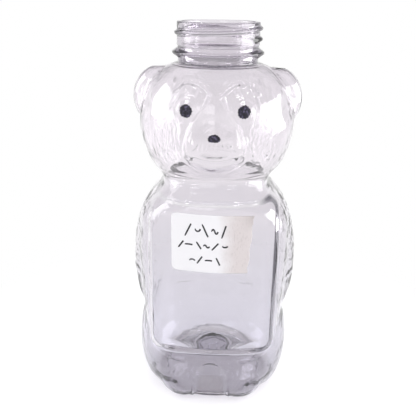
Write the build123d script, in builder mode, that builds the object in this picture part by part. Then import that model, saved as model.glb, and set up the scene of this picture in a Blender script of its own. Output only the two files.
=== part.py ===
"""Honey bear bottle: an empty, uncapped clear bottle, blown in one piece, with printed eyes and nose and a
paper label. The bottle stands on Z = 0 around the Z axis and the bear faces -Y."""
import os
from math import cos, hypot, radians, sin

from build123d import *

os.makedirs("parts", exist_ok=True)

# Trunk, head and neck, stacked from the foot up, in millimetres
trunk_height = 104.0
trunk_width = 67.2
trunk_depth = 66.0
head_height = 48.4
head_width = 67.8
head_depth = 60.4
neck_height = 16.6
wall = 0.6
shoulder_level = trunk_height + head_height
overall_height = shoulder_level + neck_height

# Level sections of the trunk, from the foot up: height, width, depth and squareness
trunk_shares = (
    (0.00, 0.720, 0.720, 0.60),
    (0.02, 0.830, 0.825, 0.62),
    (0.06, 0.915, 0.915, 0.68),
    (0.14, 0.960, 0.965, 0.77),
    (0.26, 0.962, 0.985, 0.84),
    (0.36, 0.930, 0.992, 0.88),
    (0.46, 0.962, 0.996, 0.87),
    (0.60, 1.000, 1.000, 0.86),
    (0.79, 0.995, 1.000, 0.86),
    (0.875, 0.940, 0.997, 0.84),
    (0.93, 0.810, 0.975, 0.80),
    (0.96, 0.725, 0.915, 0.74),
    (0.985, 0.690, 0.820, 0.68),
)

# Level sections of the head, from the crease at its foot to the neck
head_shares = (
    (0.03, 0.735, 0.790, 0.60),
    (0.09, 0.810, 0.810, 0.58),
    (0.147, 0.868, 0.868, 0.57),
    (0.26, 0.935, 0.958, 0.57),
    (0.43, 0.990, 1.000, 0.57),
    (0.58, 0.988, 0.993, 0.57),
    (0.72, 0.946, 0.944, 0.56),
    (0.835, 0.850, 0.854, 0.56),
    (0.92, 0.735, 0.746, 0.56),
    (0.975, 0.625, 0.640, 0.5523),
    (1.00, 0.530, 0.605, 0.5523),
)

# Ears, at the sides of the head
ear_half_width = 12.6
ear_half_thickness = 7.5
ear_half_height = 13.6
ear_place_share = (0.708, 0.694)
ear_centre_width = head_width * ear_place_share[0]
ear_centre_height = trunk_height + head_height * ear_place_share[1]

# Muzzle, at the front of the head
muzzle_half_width = 14.0
muzzle_half_height = 12.0
muzzle_half_depth = 10.5
muzzle_place_share = (0.768, 0.372)
muzzle_centre_depth = head_depth / 2 * muzzle_place_share[0]
muzzle_centre_height = trunk_height + head_height * muzzle_place_share[1]

# Arms, down the sides of the trunk
arm_half_width = 12.3
arm_half_depth = 17.5
arm_half_length = 32.0
arm_place_share = (0.744, 0.091, 0.62)
arm_centre_width = trunk_width * arm_place_share[0]
arm_centre_depth = trunk_depth / 2 * arm_place_share[1]
arm_centre_height = trunk_height * arm_place_share[2]

# Thighs, at the foot of the sides
leg_half_width = 13.8
leg_half_depth = 22.9
leg_half_height = 28.0
leg_place_share = (0.643, 0.09)
leg_centre_width = trunk_width * leg_place_share[0]
leg_centre_depth = trunk_depth / 2 * leg_place_share[1]
leg_centre_height = 23.5

# Feet, at the foot of the front, with a shallow hollow between them
foot_half_width = 12.4
foot_half_depth = 11.0
foot_half_height = 11.1
foot_place_share = (0.387, 0.596)
foot_centre_width = trunk_width * foot_place_share[0]
foot_centre_depth = trunk_depth / 2 * foot_place_share[1]
foot_centre_height = 9.5
foot_gap_half_width = 10.0
foot_gap_half_depth = 7.0
foot_gap_half_height = 20.0
foot_gap_bite = 5.0
foot_gap_centre_height = 5.0

# Label panels, one at the front and one at the back, each a shallow recess on a round of large radius
panel_width = 53.2
panel_bottom_share = 0.2865
panel_top_share = 0.944
panel_bottom = trunk_height * panel_bottom_share
panel_top = trunk_height * panel_top_share
panel_corner_radius = 4.0
panel_round_radius = 75.0
panel_recess = 0.7

# Push-up under the bottle, with a round boss and the gate mark at its middle
push_up_half_width = 23.0
push_up_half_depth = 21.5
push_up_height = 12.5
gate_boss_radius = 7.7
gate_boss_thickness = 1.4
gate_mark_radius = 1.5
gate_mark_height = 0.8

# Neck finish for a 38 mm screw cap
finish_radius = 17.5
finish_depth = 9.3
finish_step = 0.6
bore_radius = 15.5
lower_neck_radius = 17.1
rim_round = 0.5
support_ring_radius = 19.5
support_ring_depth = 12.5
support_ring_root_half_height = 2.2
support_ring_tip_half_height = 0.35

# Screw thread, one right-handed start
thread_crest_radius = 18.6
thread_pitch = 4.233
thread_root_width = 2.4
thread_crest_width = 0.8
thread_start_depth = 7.2
thread_start_angle = -36.0
thread_sweep_angle = 430.0
thread_step_angle = 10.0
thread_fade_angle = 30.0
thread_bite = 0.3

# Printed eyes and nose
ink_thickness = 0.1
eye_radius = 2.5
eye_place_share = (0.336, 0.6715)
eye_spacing = head_width * eye_place_share[0]
eye_height = trunk_height + head_height * eye_place_share[1]
nose_half_width = 2.45
nose_half_height = 1.6
nose_rise_share = 0.39
nose_height = muzzle_centre_height + muzzle_half_height * nose_rise_share

# Paper label on the front panel, with its right edge torn
label_thickness = 0.12
label_top_width = 34.5
label_bottom_width = 33.0
label_height = 26.0
label_drop = 3.4
label_centre_height = panel_top - label_drop - label_height / 2
label_corner_radius = 2.2
label_tear_depth = 1.1
label_tear_shares = ((0.18, 0.5), (0.36, 0.0), (0.56, 0.7), (0.78, 0.2), (0.90, 1.0))

# Room that a cutting shape has beyond what it cuts
overrun = 12.0


def body_levels():
    """Height, half width, half depth and squareness of each section of the trunk and the head."""
    levels = []
    for height_share, width_share, depth_share, square_share in trunk_shares:
        levels.append((trunk_height * height_share, trunk_width / 2 * width_share,
                       trunk_depth / 2 * depth_share, square_share))
    for height_share, width_share, depth_share, square_share in head_shares:
        levels.append((trunk_height + head_height * height_share, head_width / 2 * width_share,
                       head_depth / 2 * depth_share, square_share))
    return levels


def inset_levels(inset):
    """The sections moved square to the side of the body by the inset, and up from the floor by it."""
    levels = body_levels()
    moved = []
    for index, (height, half_width, half_depth, square_share) in enumerate(levels):
        below = levels[max(index - 1, 0)]
        above = levels[min(index + 1, len(levels) - 1)]
        rise = above[0] - below[0]
        width_run = above[1] - below[1]
        depth_run = above[2] - below[2]
        mean_run = (width_run + depth_run) / 2
        lift = inset if index == 0 else inset * mean_run / hypot(rise, mean_run)
        moved.append((height + lift,
                      half_width - inset * rise / hypot(rise, width_run),
                      half_depth - inset * rise / hypot(rise, depth_run),
                      square_share))
    return moved


def trunk_and_head(inset):
    """The body without its limbs and ears: one smooth skin through the level sections."""
    with BuildPart() as body:
        for height, half_width, half_depth, square_share in inset_levels(inset):
            handle_x = half_width * square_share
            handle_y = half_depth * square_share
            with BuildSketch(Plane.XY.offset(height)):
                with BuildLine():
                    for side_x, side_y in ((1, 1), (-1, 1), (-1, -1), (1, -1)):
                        side = (half_width * side_x, 0)
                        side_handle = (half_width * side_x, handle_y * side_y)
                        front_handle = (handle_x * side_x, half_depth * side_y)
                        front = (0, half_depth * side_y)
                        if side_x == side_y:
                            Bezier(side, side_handle, front_handle, front)
                        else:
                            Bezier(front, front_handle, side_handle, side)
                make_face()
        loft()
    return body.part


def rounded_lump(half_width, half_depth, half_height, place):
    """An ellipsoid with its centre at the place."""
    with BuildPart() as lump:
        Sphere(1)
        scale(by=(half_width, half_depth, half_height))
    return lump.part.moved(Location(place))


def muzzle_lump(inset):
    """The muzzle, shrunk by the inset."""
    return rounded_lump(muzzle_half_width - inset, muzzle_half_depth - inset, muzzle_half_height - inset,
                        (0, -muzzle_centre_depth, muzzle_centre_height))


def foot_gap(inset):
    """The hollow between the feet, grown by the inset."""
    depth = trunk_depth / 2 - foot_gap_bite + foot_gap_half_depth
    return rounded_lump(foot_gap_half_width + inset, foot_gap_half_depth + inset, foot_gap_half_height + inset,
                        (0, -depth, foot_gap_centre_height))


def side_lumps(inset):
    """Ears, arms, thighs and feet of both sides, shrunk by the inset."""
    lumps = []
    for side in (-1, 1):
        lumps.append(rounded_lump(ear_half_width - inset, ear_half_thickness - inset, ear_half_height - inset,
                                  (side * ear_centre_width / 2, 0, ear_centre_height)))
        lumps.append(rounded_lump(arm_half_width - inset, arm_half_depth - inset, arm_half_length - inset,
                                  (side * arm_centre_width / 2, -arm_centre_depth, arm_centre_height)))
        lumps.append(rounded_lump(leg_half_width - inset, leg_half_depth - inset, leg_half_height - inset,
                                  (side * leg_centre_width / 2, -leg_centre_depth, leg_centre_height)))
        lumps.append(rounded_lump(foot_half_width - inset, foot_half_depth - inset, foot_half_height - inset,
                                  (side * foot_centre_width / 2, -foot_centre_depth, foot_centre_height)))
    return lumps


def panel_centre_y():
    """Where the axis of the front panel's round lies, so that the panel's middle is at its depth."""
    return panel_round_radius + panel_recess - trunk_depth / 2


def panel_cutter(inset):
    """What lies before the front panel's round, within the panel's outline grown by the inset."""
    middle = (panel_bottom + panel_top) / 2
    height = panel_top - panel_bottom
    with BuildPart() as cutter:
        with BuildSketch(Plane.XZ):
            with Locations((0, middle)):
                RectangleRounded(panel_width + 2 * inset, height + 2 * inset, panel_corner_radius + inset)
        extrude(amount=trunk_depth)
        with BuildSketch(Plane.XY):
            with Locations((0, panel_centre_y())):
                Circle(panel_round_radius - inset)
        extrude(amount=overall_height, mode=Mode.SUBTRACT)
    return cutter.part


def body_solid(inset):
    """The whole body below the neck, solid, moved inwards by the inset."""
    core = trunk_and_head(inset)
    lumps = [*side_lumps(inset), muzzle_lump(inset)]
    gap = foot_gap(inset)
    front = panel_cutter(inset)
    back = front.rotate(Axis.Z, 180)
    with BuildPart() as body:
        add(core)
        for lump in lumps:
            add(lump)
        add(gap, mode=Mode.SUBTRACT)
        add(front, mode=Mode.SUBTRACT)
        add(back, mode=Mode.SUBTRACT)
        with BuildSketch(Plane.XY.offset(inset)):
            Rectangle(trunk_width * 2, trunk_depth * 2)
        extrude(amount=-overall_height, mode=Mode.SUBTRACT)
    return body.part


def push_up(inset):
    """The hollow pushed up into the foot, grown by the inset."""
    return rounded_lump(push_up_half_width + inset, push_up_half_depth + inset, push_up_height + inset,
                        (0, 0, 0))


def neck_solid():
    """The neck with its finish and support ring, without its bore and thread."""
    rim = overall_height
    ring = overall_height - support_ring_depth
    with BuildPart() as neck:
        with BuildSketch(Plane.XZ) as profile:
            with BuildLine():
                Polyline(
                    (0, shoulder_level - overrun / 2),
                    (lower_neck_radius, shoulder_level - overrun / 2),
                    (lower_neck_radius, ring - support_ring_root_half_height),
                    (support_ring_radius, ring - support_ring_tip_half_height),
                    (support_ring_radius, ring + support_ring_tip_half_height),
                    (lower_neck_radius, ring + support_ring_root_half_height),
                    (lower_neck_radius, rim - finish_depth - finish_step),
                    (finish_radius, rim - finish_depth),
                    (finish_radius, rim),
                    (0, rim),
                    close=True,
                )
            make_face()
            fillet(profile.vertices().group_by(Axis.Y)[-1].sort_by(Axis.X)[-1], radius=rim_round)
        revolve(axis=Axis.Z)
    return neck.part


def screw_thread():
    """One right-handed thread around the finish, run out at both ends."""
    root = finish_radius - thread_bite
    steps = round(thread_sweep_angle / thread_step_angle)
    with BuildPart() as thread:
        for step in range(steps + 1):
            turned = step * thread_step_angle
            fade = min(turned, thread_sweep_angle - turned, thread_fade_angle) / thread_fade_angle
            grown = sin(radians(90 * fade)) ** 2
            crest = root + thread_bite / 2 + (thread_crest_radius - root - thread_bite / 2) * grown
            height = overall_height - thread_start_depth + thread_pitch * turned / 360
            angle = thread_start_angle + turned
            across = Plane(origin=(0, 0, height), x_dir=(cos(radians(angle)), sin(radians(angle)), 0),
                           z_dir=(sin(radians(angle)), -cos(radians(angle)), 0))
            with BuildSketch(across):
                with BuildLine():
                    Polyline(
                        (root, -thread_root_width / 2),
                        (crest, -thread_crest_width / 2),
                        (crest, thread_crest_width / 2),
                        (root, thread_root_width / 2),
                        close=True,
                    )
                make_face()
        loft()
    return thread.part


def ink_prism(half_width, half_height, middle_x, middle_height, start_depth):
    """An upright elliptical prism that runs forwards from the start depth."""
    with BuildPart() as prism:
        with BuildSketch(Plane.XZ.offset(start_depth)):
            with Locations((middle_x, middle_height)):
                Ellipse(half_width, half_height)
        extrude(amount=head_depth)
    return prism.part


def label_outline():
    """The label's corners in its own plane, down the left side and up the torn right one."""
    half_height = label_height / 2
    left = -label_top_width / 2
    taper = label_top_width - label_bottom_width
    torn_edge = []
    for down_share, in_share in reversed(label_tear_shares):
        torn_edge.append((left + label_top_width - taper * down_share - label_tear_depth * in_share,
                          half_height - label_height * down_share))
    return [
        (left + label_top_width, half_height),
        (left, half_height),
        (left, -half_height),
        (left + label_bottom_width, -half_height),
        *torn_edge,
    ]


# Cavity of the bottle, with its floor over the push-up and its bore
inside = body_solid(wall)
floor_dome = push_up(wall)
with BuildPart() as cavity:
    add(inside)
    add(floor_dome, mode=Mode.SUBTRACT)
    with BuildSketch(Plane.XY.offset(shoulder_level - overrun)):
        Circle(bore_radius)
    extrude(amount=overrun + neck_height + overrun)

# Bottle: outer skin, neck and thread, less the push-up and the cavity, with the gate boss under its floor
outside = body_solid(0)
neck = neck_solid()
thread = screw_thread()
foot_hollow = push_up(0)
boss_level = push_up_height + wall / 2
with BuildPart() as bottle:
    add(outside)
    add(neck)
    add(thread)
    add(foot_hollow, mode=Mode.SUBTRACT)
    add(cavity.part, mode=Mode.SUBTRACT)
    with BuildSketch(Plane.XY.offset(boss_level)):
        Circle(gate_boss_radius)
    extrude(amount=-gate_boss_thickness)
    with BuildSketch(Plane.XY.offset(boss_level - gate_boss_thickness)):
        Circle(gate_mark_radius)
    extrude(amount=-gate_mark_height)
bottle.part.label = "bottle"
export_step(bottle.part, "parts/bottle.step")

# Eyes, printed on the head
head_skin = trunk_and_head(0)
head_ink_skin = trunk_and_head(-ink_thickness)
for name, side in (("left_eye", -1), ("right_eye", 1)):
    eye_prism = ink_prism(eye_radius, eye_radius, side * eye_spacing / 2, eye_height, 0)
    with BuildPart() as eye:
        add(eye_prism)
        add(head_ink_skin, mode=Mode.INTERSECT)
        add(head_skin, mode=Mode.SUBTRACT)
    eye.part.label = name
    export_step(eye.part, f"parts/{name}.step")

# Nose, printed on the muzzle
muzzle_skin = muzzle_lump(0)
muzzle_ink_skin = muzzle_lump(-ink_thickness)
nose_prism = ink_prism(nose_half_width, nose_half_height, 0, nose_height, muzzle_centre_depth)
with BuildPart() as nose:
    add(nose_prism)
    add(muzzle_ink_skin, mode=Mode.INTERSECT)
    add(muzzle_skin, mode=Mode.SUBTRACT)
nose.part.label = "nose"
export_step(nose.part, "parts/nose.step")

# Label, stuck on the front panel
label_plane = Plane(origin=(0, 0, label_centre_height), x_dir=(1, 0, 0), z_dir=(0, -1, 0))
with BuildPart() as label:
    with BuildSketch(label_plane) as outline:
        with BuildLine():
            Polyline(*label_outline(), close=True)
        make_face()
        left_corners = outline.vertices().filter_by_position(Axis.X, -label_top_width, 0)
        fillet(left_corners, radius=label_corner_radius)
    extrude(amount=trunk_depth)
    with BuildSketch(Plane.XY):
        with Locations((0, panel_centre_y())):
            Circle(panel_round_radius + label_thickness)
            Circle(panel_round_radius, mode=Mode.SUBTRACT)
    extrude(amount=overall_height, mode=Mode.INTERSECT)
label.part.label = "label"
export_step(label.part, "parts/label.step")
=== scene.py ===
"""Honey bear bottle: the looks of the clear bottle, its printed face and its paper label.

The classes hold their sizes in millimetres, with Z up and the bear facing -Y. The meshes are made in metres.
"Across" is X, "up" is Z, and angles run around the neck's axis from +X towards +Y.
"""

import logging
import math
from dataclasses import dataclass, field
from enum import Enum

import bmesh
import bpy
import numpy as np
from mathutils import Matrix, Vector


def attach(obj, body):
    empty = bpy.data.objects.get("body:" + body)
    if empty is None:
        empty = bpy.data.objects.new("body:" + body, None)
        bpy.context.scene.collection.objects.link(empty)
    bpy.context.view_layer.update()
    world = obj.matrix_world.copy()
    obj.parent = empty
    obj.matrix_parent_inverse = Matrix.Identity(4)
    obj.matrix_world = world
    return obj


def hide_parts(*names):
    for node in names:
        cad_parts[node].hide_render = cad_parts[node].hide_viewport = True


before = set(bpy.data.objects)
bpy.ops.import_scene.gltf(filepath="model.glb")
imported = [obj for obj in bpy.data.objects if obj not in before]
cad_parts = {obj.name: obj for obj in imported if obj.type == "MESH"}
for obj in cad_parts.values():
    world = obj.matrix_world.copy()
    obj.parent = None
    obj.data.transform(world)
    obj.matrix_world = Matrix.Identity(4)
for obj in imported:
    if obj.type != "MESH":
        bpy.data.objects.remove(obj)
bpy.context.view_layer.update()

MM = 0.001
TURN = 2 * math.pi
Socket = bpy.types.NodeSocket
Colour = tuple[float, float, float, float]
Line = tuple[tuple[float, float], ...]
Step = tuple[float, float]  # a mark in millimetres, and how far the soft step reaches on both sides of it
log = logging.getLogger("bear_bottle")


class Side(Enum):
    """A side of the bear as the camera sees it, as the sign of X."""

    LEFT = -1
    RIGHT = 1


def smooth_rise(value: np.ndarray | float, low: float, high: float) -> np.ndarray:
    """Runs smoothly from 0 at the low value to 1 at the high one.

    Args:
        value: Values, or one value, to place between the two.
        low: Value where the rise starts.
        high: Value where the rise ends.

    Returns:
        Shares from 0 to 1.
    """
    share = np.clip((value - low) / (high - low), 0, 1)
    return share * share * (3 - 2 * share)


def band(value: np.ndarray, rise: tuple[float, float], fall: tuple[float, float]) -> np.ndarray:
    """Gives 1 in a band, with a smooth rise before it and a smooth fall after it.

    Args:
        value: Values to place against the band.
        rise: Where the rise starts and ends.
        fall: Where the fall starts and ends.

    Returns:
        Shares from 0 to 1.
    """
    return smooth_rise(value, *rise) * (1 - smooth_rise(value, *fall))


def smooth_curve(at: np.ndarray, stations: np.ndarray, values: np.ndarray) -> np.ndarray:
    """Reads a smooth curve that passes through a table of values.

    Args:
        at: Places to read.
        stations: Rising places of the table.
        values: Values at the stations.

    Returns:
        The curve's values.
    """
    slopes = np.gradient(values, stations)
    index = np.clip(np.searchsorted(stations, at) - 1, 0, len(stations) - 2)
    gap = stations[index + 1] - stations[index]
    share = np.clip((at - stations[index]) / gap, 0, 1)
    rise = smooth_rise(share, 0, 1)
    leave = share * (1 - share) ** 2 * gap * slopes[index]
    arrive = share * share * (share - 1) * gap * slopes[index + 1]
    return values[index] * (1 - rise) + values[index + 1] * rise + leave + arrive


def soft_union(first: np.ndarray, second: np.ndarray, softness: float) -> np.ndarray:
    """Joins two radii, rounding the corner where they meet.

    Args:
        first: Radii of one form.
        second: Radii of the other form.
        softness: Difference of radii over which the corner is rounded.

    Returns:
        The joined radii.
    """
    near = np.clip(softness - np.abs(first - second), 0, None) / softness
    return np.maximum(first, second) + near ** 2 * softness / 4


def spread(density: np.ndarray, places: np.ndarray, count: int) -> np.ndarray:
    """Spreads places so that they lie closer where the density is high.

    Args:
        density: Wanted density at each of the places.
        places: Evenly rising sample places, from the first to the last.
        count: How many places to return, both ends included.

    Returns:
        The spread places.
    """
    steps = np.diff(places) * (density[1:] + density[:-1]) / 2
    total = np.concatenate(([0.0], np.cumsum(steps)))
    return np.interp(np.linspace(0, total[-1], count), total, places)


def around_axis(radius: np.ndarray | float, angles: np.ndarray, heights: np.ndarray | float) -> np.ndarray:
    """Places points around the neck's axis.

    Args:
        radius: Distances from the axis.
        angles: Directions around the axis.
        heights: Heights of the points.

    Returns:
        The points, with X, Y and Z along the last axis.
    """
    places = (radius * np.cos(angles), radius * np.sin(angles), heights)
    return np.stack(np.broadcast_arrays(*places), axis=-1)


@dataclass(frozen=True)
class Lump:
    """An ellipsoid that swells out of the body: an ear, the muzzle, an arm, a thigh or a foot."""

    centre: tuple[float, float, float]
    half: tuple[float, float, float]
    softness: float

    def meeting(self, angles: np.ndarray, heights: np.ndarray) -> tuple[np.ndarray, ...]:
        """Works out how level lines from the neck's axis meet the lump.

        Args:
            angles: Directions around the axis.
            heights: Heights of the points.

        Returns:
            The room left at each height, and the steepness, middle and discriminant of the meeting.
        """
        room = 1 - ((heights - self.centre[2]) / self.half[2]) ** 2
        squeeze = np.sqrt(np.clip(room, 1e-3, 1))
        half_x, half_y = self.half[0] * squeeze, self.half[1] * squeeze
        along_x, along_y = np.cos(angles) / half_x, np.sin(angles) / half_y
        off_x, off_y = self.centre[0] / half_x, self.centre[1] / half_y
        steepness = along_x ** 2 + along_y ** 2
        middle = along_x * off_x + along_y * off_y
        return room, steepness, middle, middle ** 2 - steepness * (off_x ** 2 + off_y ** 2 - 1)

    def reach(self, angles: np.ndarray, heights: np.ndarray) -> np.ndarray:
        """Finds how far the lump goes from the neck's axis.

        Args:
            angles: Directions around the axis.
            heights: Heights of the points.

        Returns:
            Distances from the axis, small or negative where the lump isn't met.
        """
        room, steepness, middle, inside = self.meeting(angles, heights)
        far = (middle + np.sign(inside) * np.sqrt(np.abs(inside))) / steepness
        return far * smooth_rise(room, 0, 0.12)

    def bite(self, angles: np.ndarray, heights: np.ndarray) -> np.ndarray:
        """Finds how near to the neck's axis the lump comes, where it is used to cut a hollow.

        Args:
            angles: Directions around the axis.
            heights: Heights of the points.

        Returns:
            Distances from the axis, large where the lump isn't met.
        """
        room, steepness, middle, inside = self.meeting(angles, heights)
        met = (inside > 0) & (middle > 0) & (room > 0)
        return np.where(met, (middle - np.sqrt(np.clip(inside, 0, None))) / steepness, 1000.0)


@dataclass(frozen=True)
class Ridge:
    """A thin line that stands out of the skin, or is sunk into it where its height is negative."""

    points: Line
    width: float
    height: float

    @classmethod
    def on_side(cls, side: int, points: Line, width: float, height: float) -> "Ridge":
        """Makes a line that is given for the right side, on the side of the sign."""
        return cls(tuple((side * x, z) for x, z in points), width, height)

    def relief(self, across: np.ndarray, up: np.ndarray) -> np.ndarray:
        """Gives how far the line lifts the skin.

        Args:
            across: Sideways places of the skin's points.
            up: Heights of the skin's points.

        Returns:
            Lifts in millimetres.
        """
        nearest = np.full(across.shape, np.inf)
        for (start_x, start_z), (end_x, end_z) in zip(self.points, self.points[1:]):
            run_x, run_z = end_x - start_x, end_z - start_z
            share = ((across - start_x) * run_x + (up - start_z) * run_z) / (run_x ** 2 + run_z ** 2)
            share = np.clip(share, 0, 1)
            gap = np.hypot(across - start_x - share * run_x, up - start_z - share * run_z)
            nearest = np.minimum(nearest, gap)
        return self.height * np.exp(-(nearest / self.width) ** 2)


def arc_points(
    middle: tuple[float, float], half: tuple[float, float], start: float, end: float, steps: int
) -> Line:
    """Places points along an arc of an ellipse.

    Args:
        middle: Centre of the arc, across and up.
        half: Half sizes of the ellipse, across and up.
        start: Angle of the first point, in degrees.
        end: Angle of the last point, in degrees.
        steps: Number of straight runs between them.

    Returns:
        The points, across and up.
    """
    turns = np.radians(np.linspace(start, end, steps + 1))
    return tuple(
        (middle[0] + half[0] * math.cos(turn), middle[1] + half[1] * math.sin(turn)) for turn in turns
    )


@dataclass
class Face:
    """The lines and swellings of the bear's face, as heights over the smooth head."""

    eye_spacing: float = 22.78
    eye_height: float = 136.5
    nose_height: float = 126.69
    eyeball_radius: float = 3.4
    eyeball_height: float = 0.5
    mound_radius: float = 9.4
    mound_height: float = 0.7
    bridge_height: float = 0.8
    bridge_width: float = 4.4
    nose_pad_height: float = 0.45
    nose_pad_half: tuple[float, float] = (3.4, 2.4)
    ridges: list[Ridge] = field(default_factory=list)

    def __post_init__(self) -> None:
        """Lists the lines of both halves of the face."""
        for side in Side:
            self.ridges += self.brow(side.value) + self.fur(side.value)
        self.ridges += self.muzzle()

    def brow(self, side: int) -> list[Ridge]:
        """Makes the brow, the rim of the eye's hollow and the hair ticks about them.

        Args:
            side: Sign of X of this half of the face.

        Returns:
            The lines.
        """
        eye_x = side * self.eye_spacing / 2
        brow_x, brow_z = eye_x - 1.4 * side, self.eye_height + 1.0
        lines = [
            Ridge(arc_points((brow_x, brow_z), (8.9, 8.9), 35, 142, 14), 0.7, 0.45),
            Ridge(arc_points((brow_x, brow_z), (10.6, 10.6), 50, 125, 10), 0.8, -0.2),
            Ridge(arc_points((eye_x, self.eye_height), (4.9, 4.9), 20, 160, 12), 0.6, 0.2),
            Ridge(arc_points((eye_x, self.eye_height), (5.4, 5.2), 200, 340, 12), 0.8, -0.2),
        ]
        for tick in range(5):
            z = 142.6 - 1.0 * tick
            inner = side * (2.3 + 0.5 * tick)
            outer = side * (15.6 + 0.4 * tick)
            lines.append(Ridge(((inner, z), (inner + 0.7 * side, z - 1.2)), 0.42, 0.34))
            lines.append(Ridge(((outer, z), (outer + 0.5 * side, z - 1.3)), 0.42, 0.34))
        return lines

    def fur(self, side: int) -> list[Ridge]:
        """Makes the wavy fur lines of a cheek and of the forehead over it.

        Args:
            side: Sign of X of this half of the face.

        Returns:
            The lines.
        """
        lines = []
        for column in range(5):
            x = side * (15.2 + 1.7 * column)
            top = 133.0 - 0.9 * column
            points = []
            for step in range(8):
                wave = 0.5 * math.sin(step * 1.9 + column * 2.1)
                points.append((x + side * (wave - 0.12 * step), top - 1.7 * step))
            lines.append(Ridge(tuple(points), 0.45, 0.36))
        for row in range(3):
            for column in range(5):
                shift = 0.6 * math.sin(7.1 * row + 3.3 * column + side)
                x = side * (7.2 + 2.3 * column + 0.9 * (row % 2)) + shift
                z = 148.8 - 1.9 * row - 0.16 * column ** 1.5 + 0.6 * math.sin(5.3 * column + 2.1 * row)
                length = 1.5 + 0.7 * math.sin(4.7 * column + 1.3 * row + side)
                lines.append(Ridge(((x, z), (x + side * 0.6 * length, z - length)), 0.34, 0.2))
        return lines

    def muzzle(self) -> list[Ridge]:
        """Makes the folds beside the muzzle, the lips, the chin and the ticks under the nose.

        Returns:
            The lines.
        """
        lines = []
        for side in Side:
            fold = ((5.6, 136.0), (7.8, 132.8), (9.6, 129.0), (10.7, 125.5), (11.3, 121.5), (10.9, 118.6))
            outer = ((7.2, 136.2), (9.6, 133.0), (11.4, 129.2), (12.5, 125.2), (13.0, 121.0))
            lines.append(Ridge.on_side(side.value, fold, 0.75, -0.36))
            lines.append(Ridge.on_side(side.value, outer, 0.75, 0.26))
        lines += [
            Ridge(arc_points((0, 120.0), (8.6, 3.2), 15, 165, 12), 0.55, 0.14),
            Ridge(arc_points((0, 121.4), (10.0, 3.9), 222, 318, 12), 0.55, -0.16),
            Ridge(arc_points((-1.5, 116.0), (5.6, 3.2), 230, 310, 8), 0.8, 0.12),
            Ridge(arc_points((0, 127.3), (4.4, 3.6), 25, 155, 10), 0.5, 0.22),
        ]
        for tick in range(-4, 5):
            x = 1.6 * tick
            top = self.nose_height - 2.4 - 0.05 * tick ** 2
            lines.append(Ridge(((x, top), (1.05 * x, top - 1.3)), 0.4, 0.32))
        return lines

    def lines(self, across: np.ndarray, up: np.ndarray) -> np.ndarray:
        """Gives how far the thin lines lift the outer skin.

        Args:
            across: X of the skin's points.
            up: Heights of the skin's points.

        Returns:
            Lifts in millimetres.
        """
        return sum(ridge.relief(across, up) for ridge in self.ridges)

    def swelling(self, across: np.ndarray, up: np.ndarray) -> np.ndarray:
        """Gives how far the eyeballs, the bridge of the nose and its pad lift both skins.

        Args:
            across: X of the skin's points.
            up: Heights of the skin's points.

        Returns:
            Lifts in millimetres.
        """
        lift = np.zeros(across.shape)
        for side in Side:
            off = np.hypot(across - side.value * self.eye_spacing / 2, up - self.eye_height)
            lift += self.eyeball_height * np.exp(-(off / self.eyeball_radius) ** 4)
            lift += self.mound_height * np.clip(1 - (off / self.mound_radius) ** 2, 0, None) ** 1.5
        bridge = np.exp(-(across / self.bridge_width) ** 2) * band(up, (126, 133), (136, 147))
        pad_x, pad_z = self.nose_pad_half
        pad = np.exp(-((across / pad_x) ** 2 + ((up - self.nose_height) / pad_z) ** 2) ** 2)
        return lift + self.bridge_height * bridge + self.nose_pad_height * pad


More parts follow.
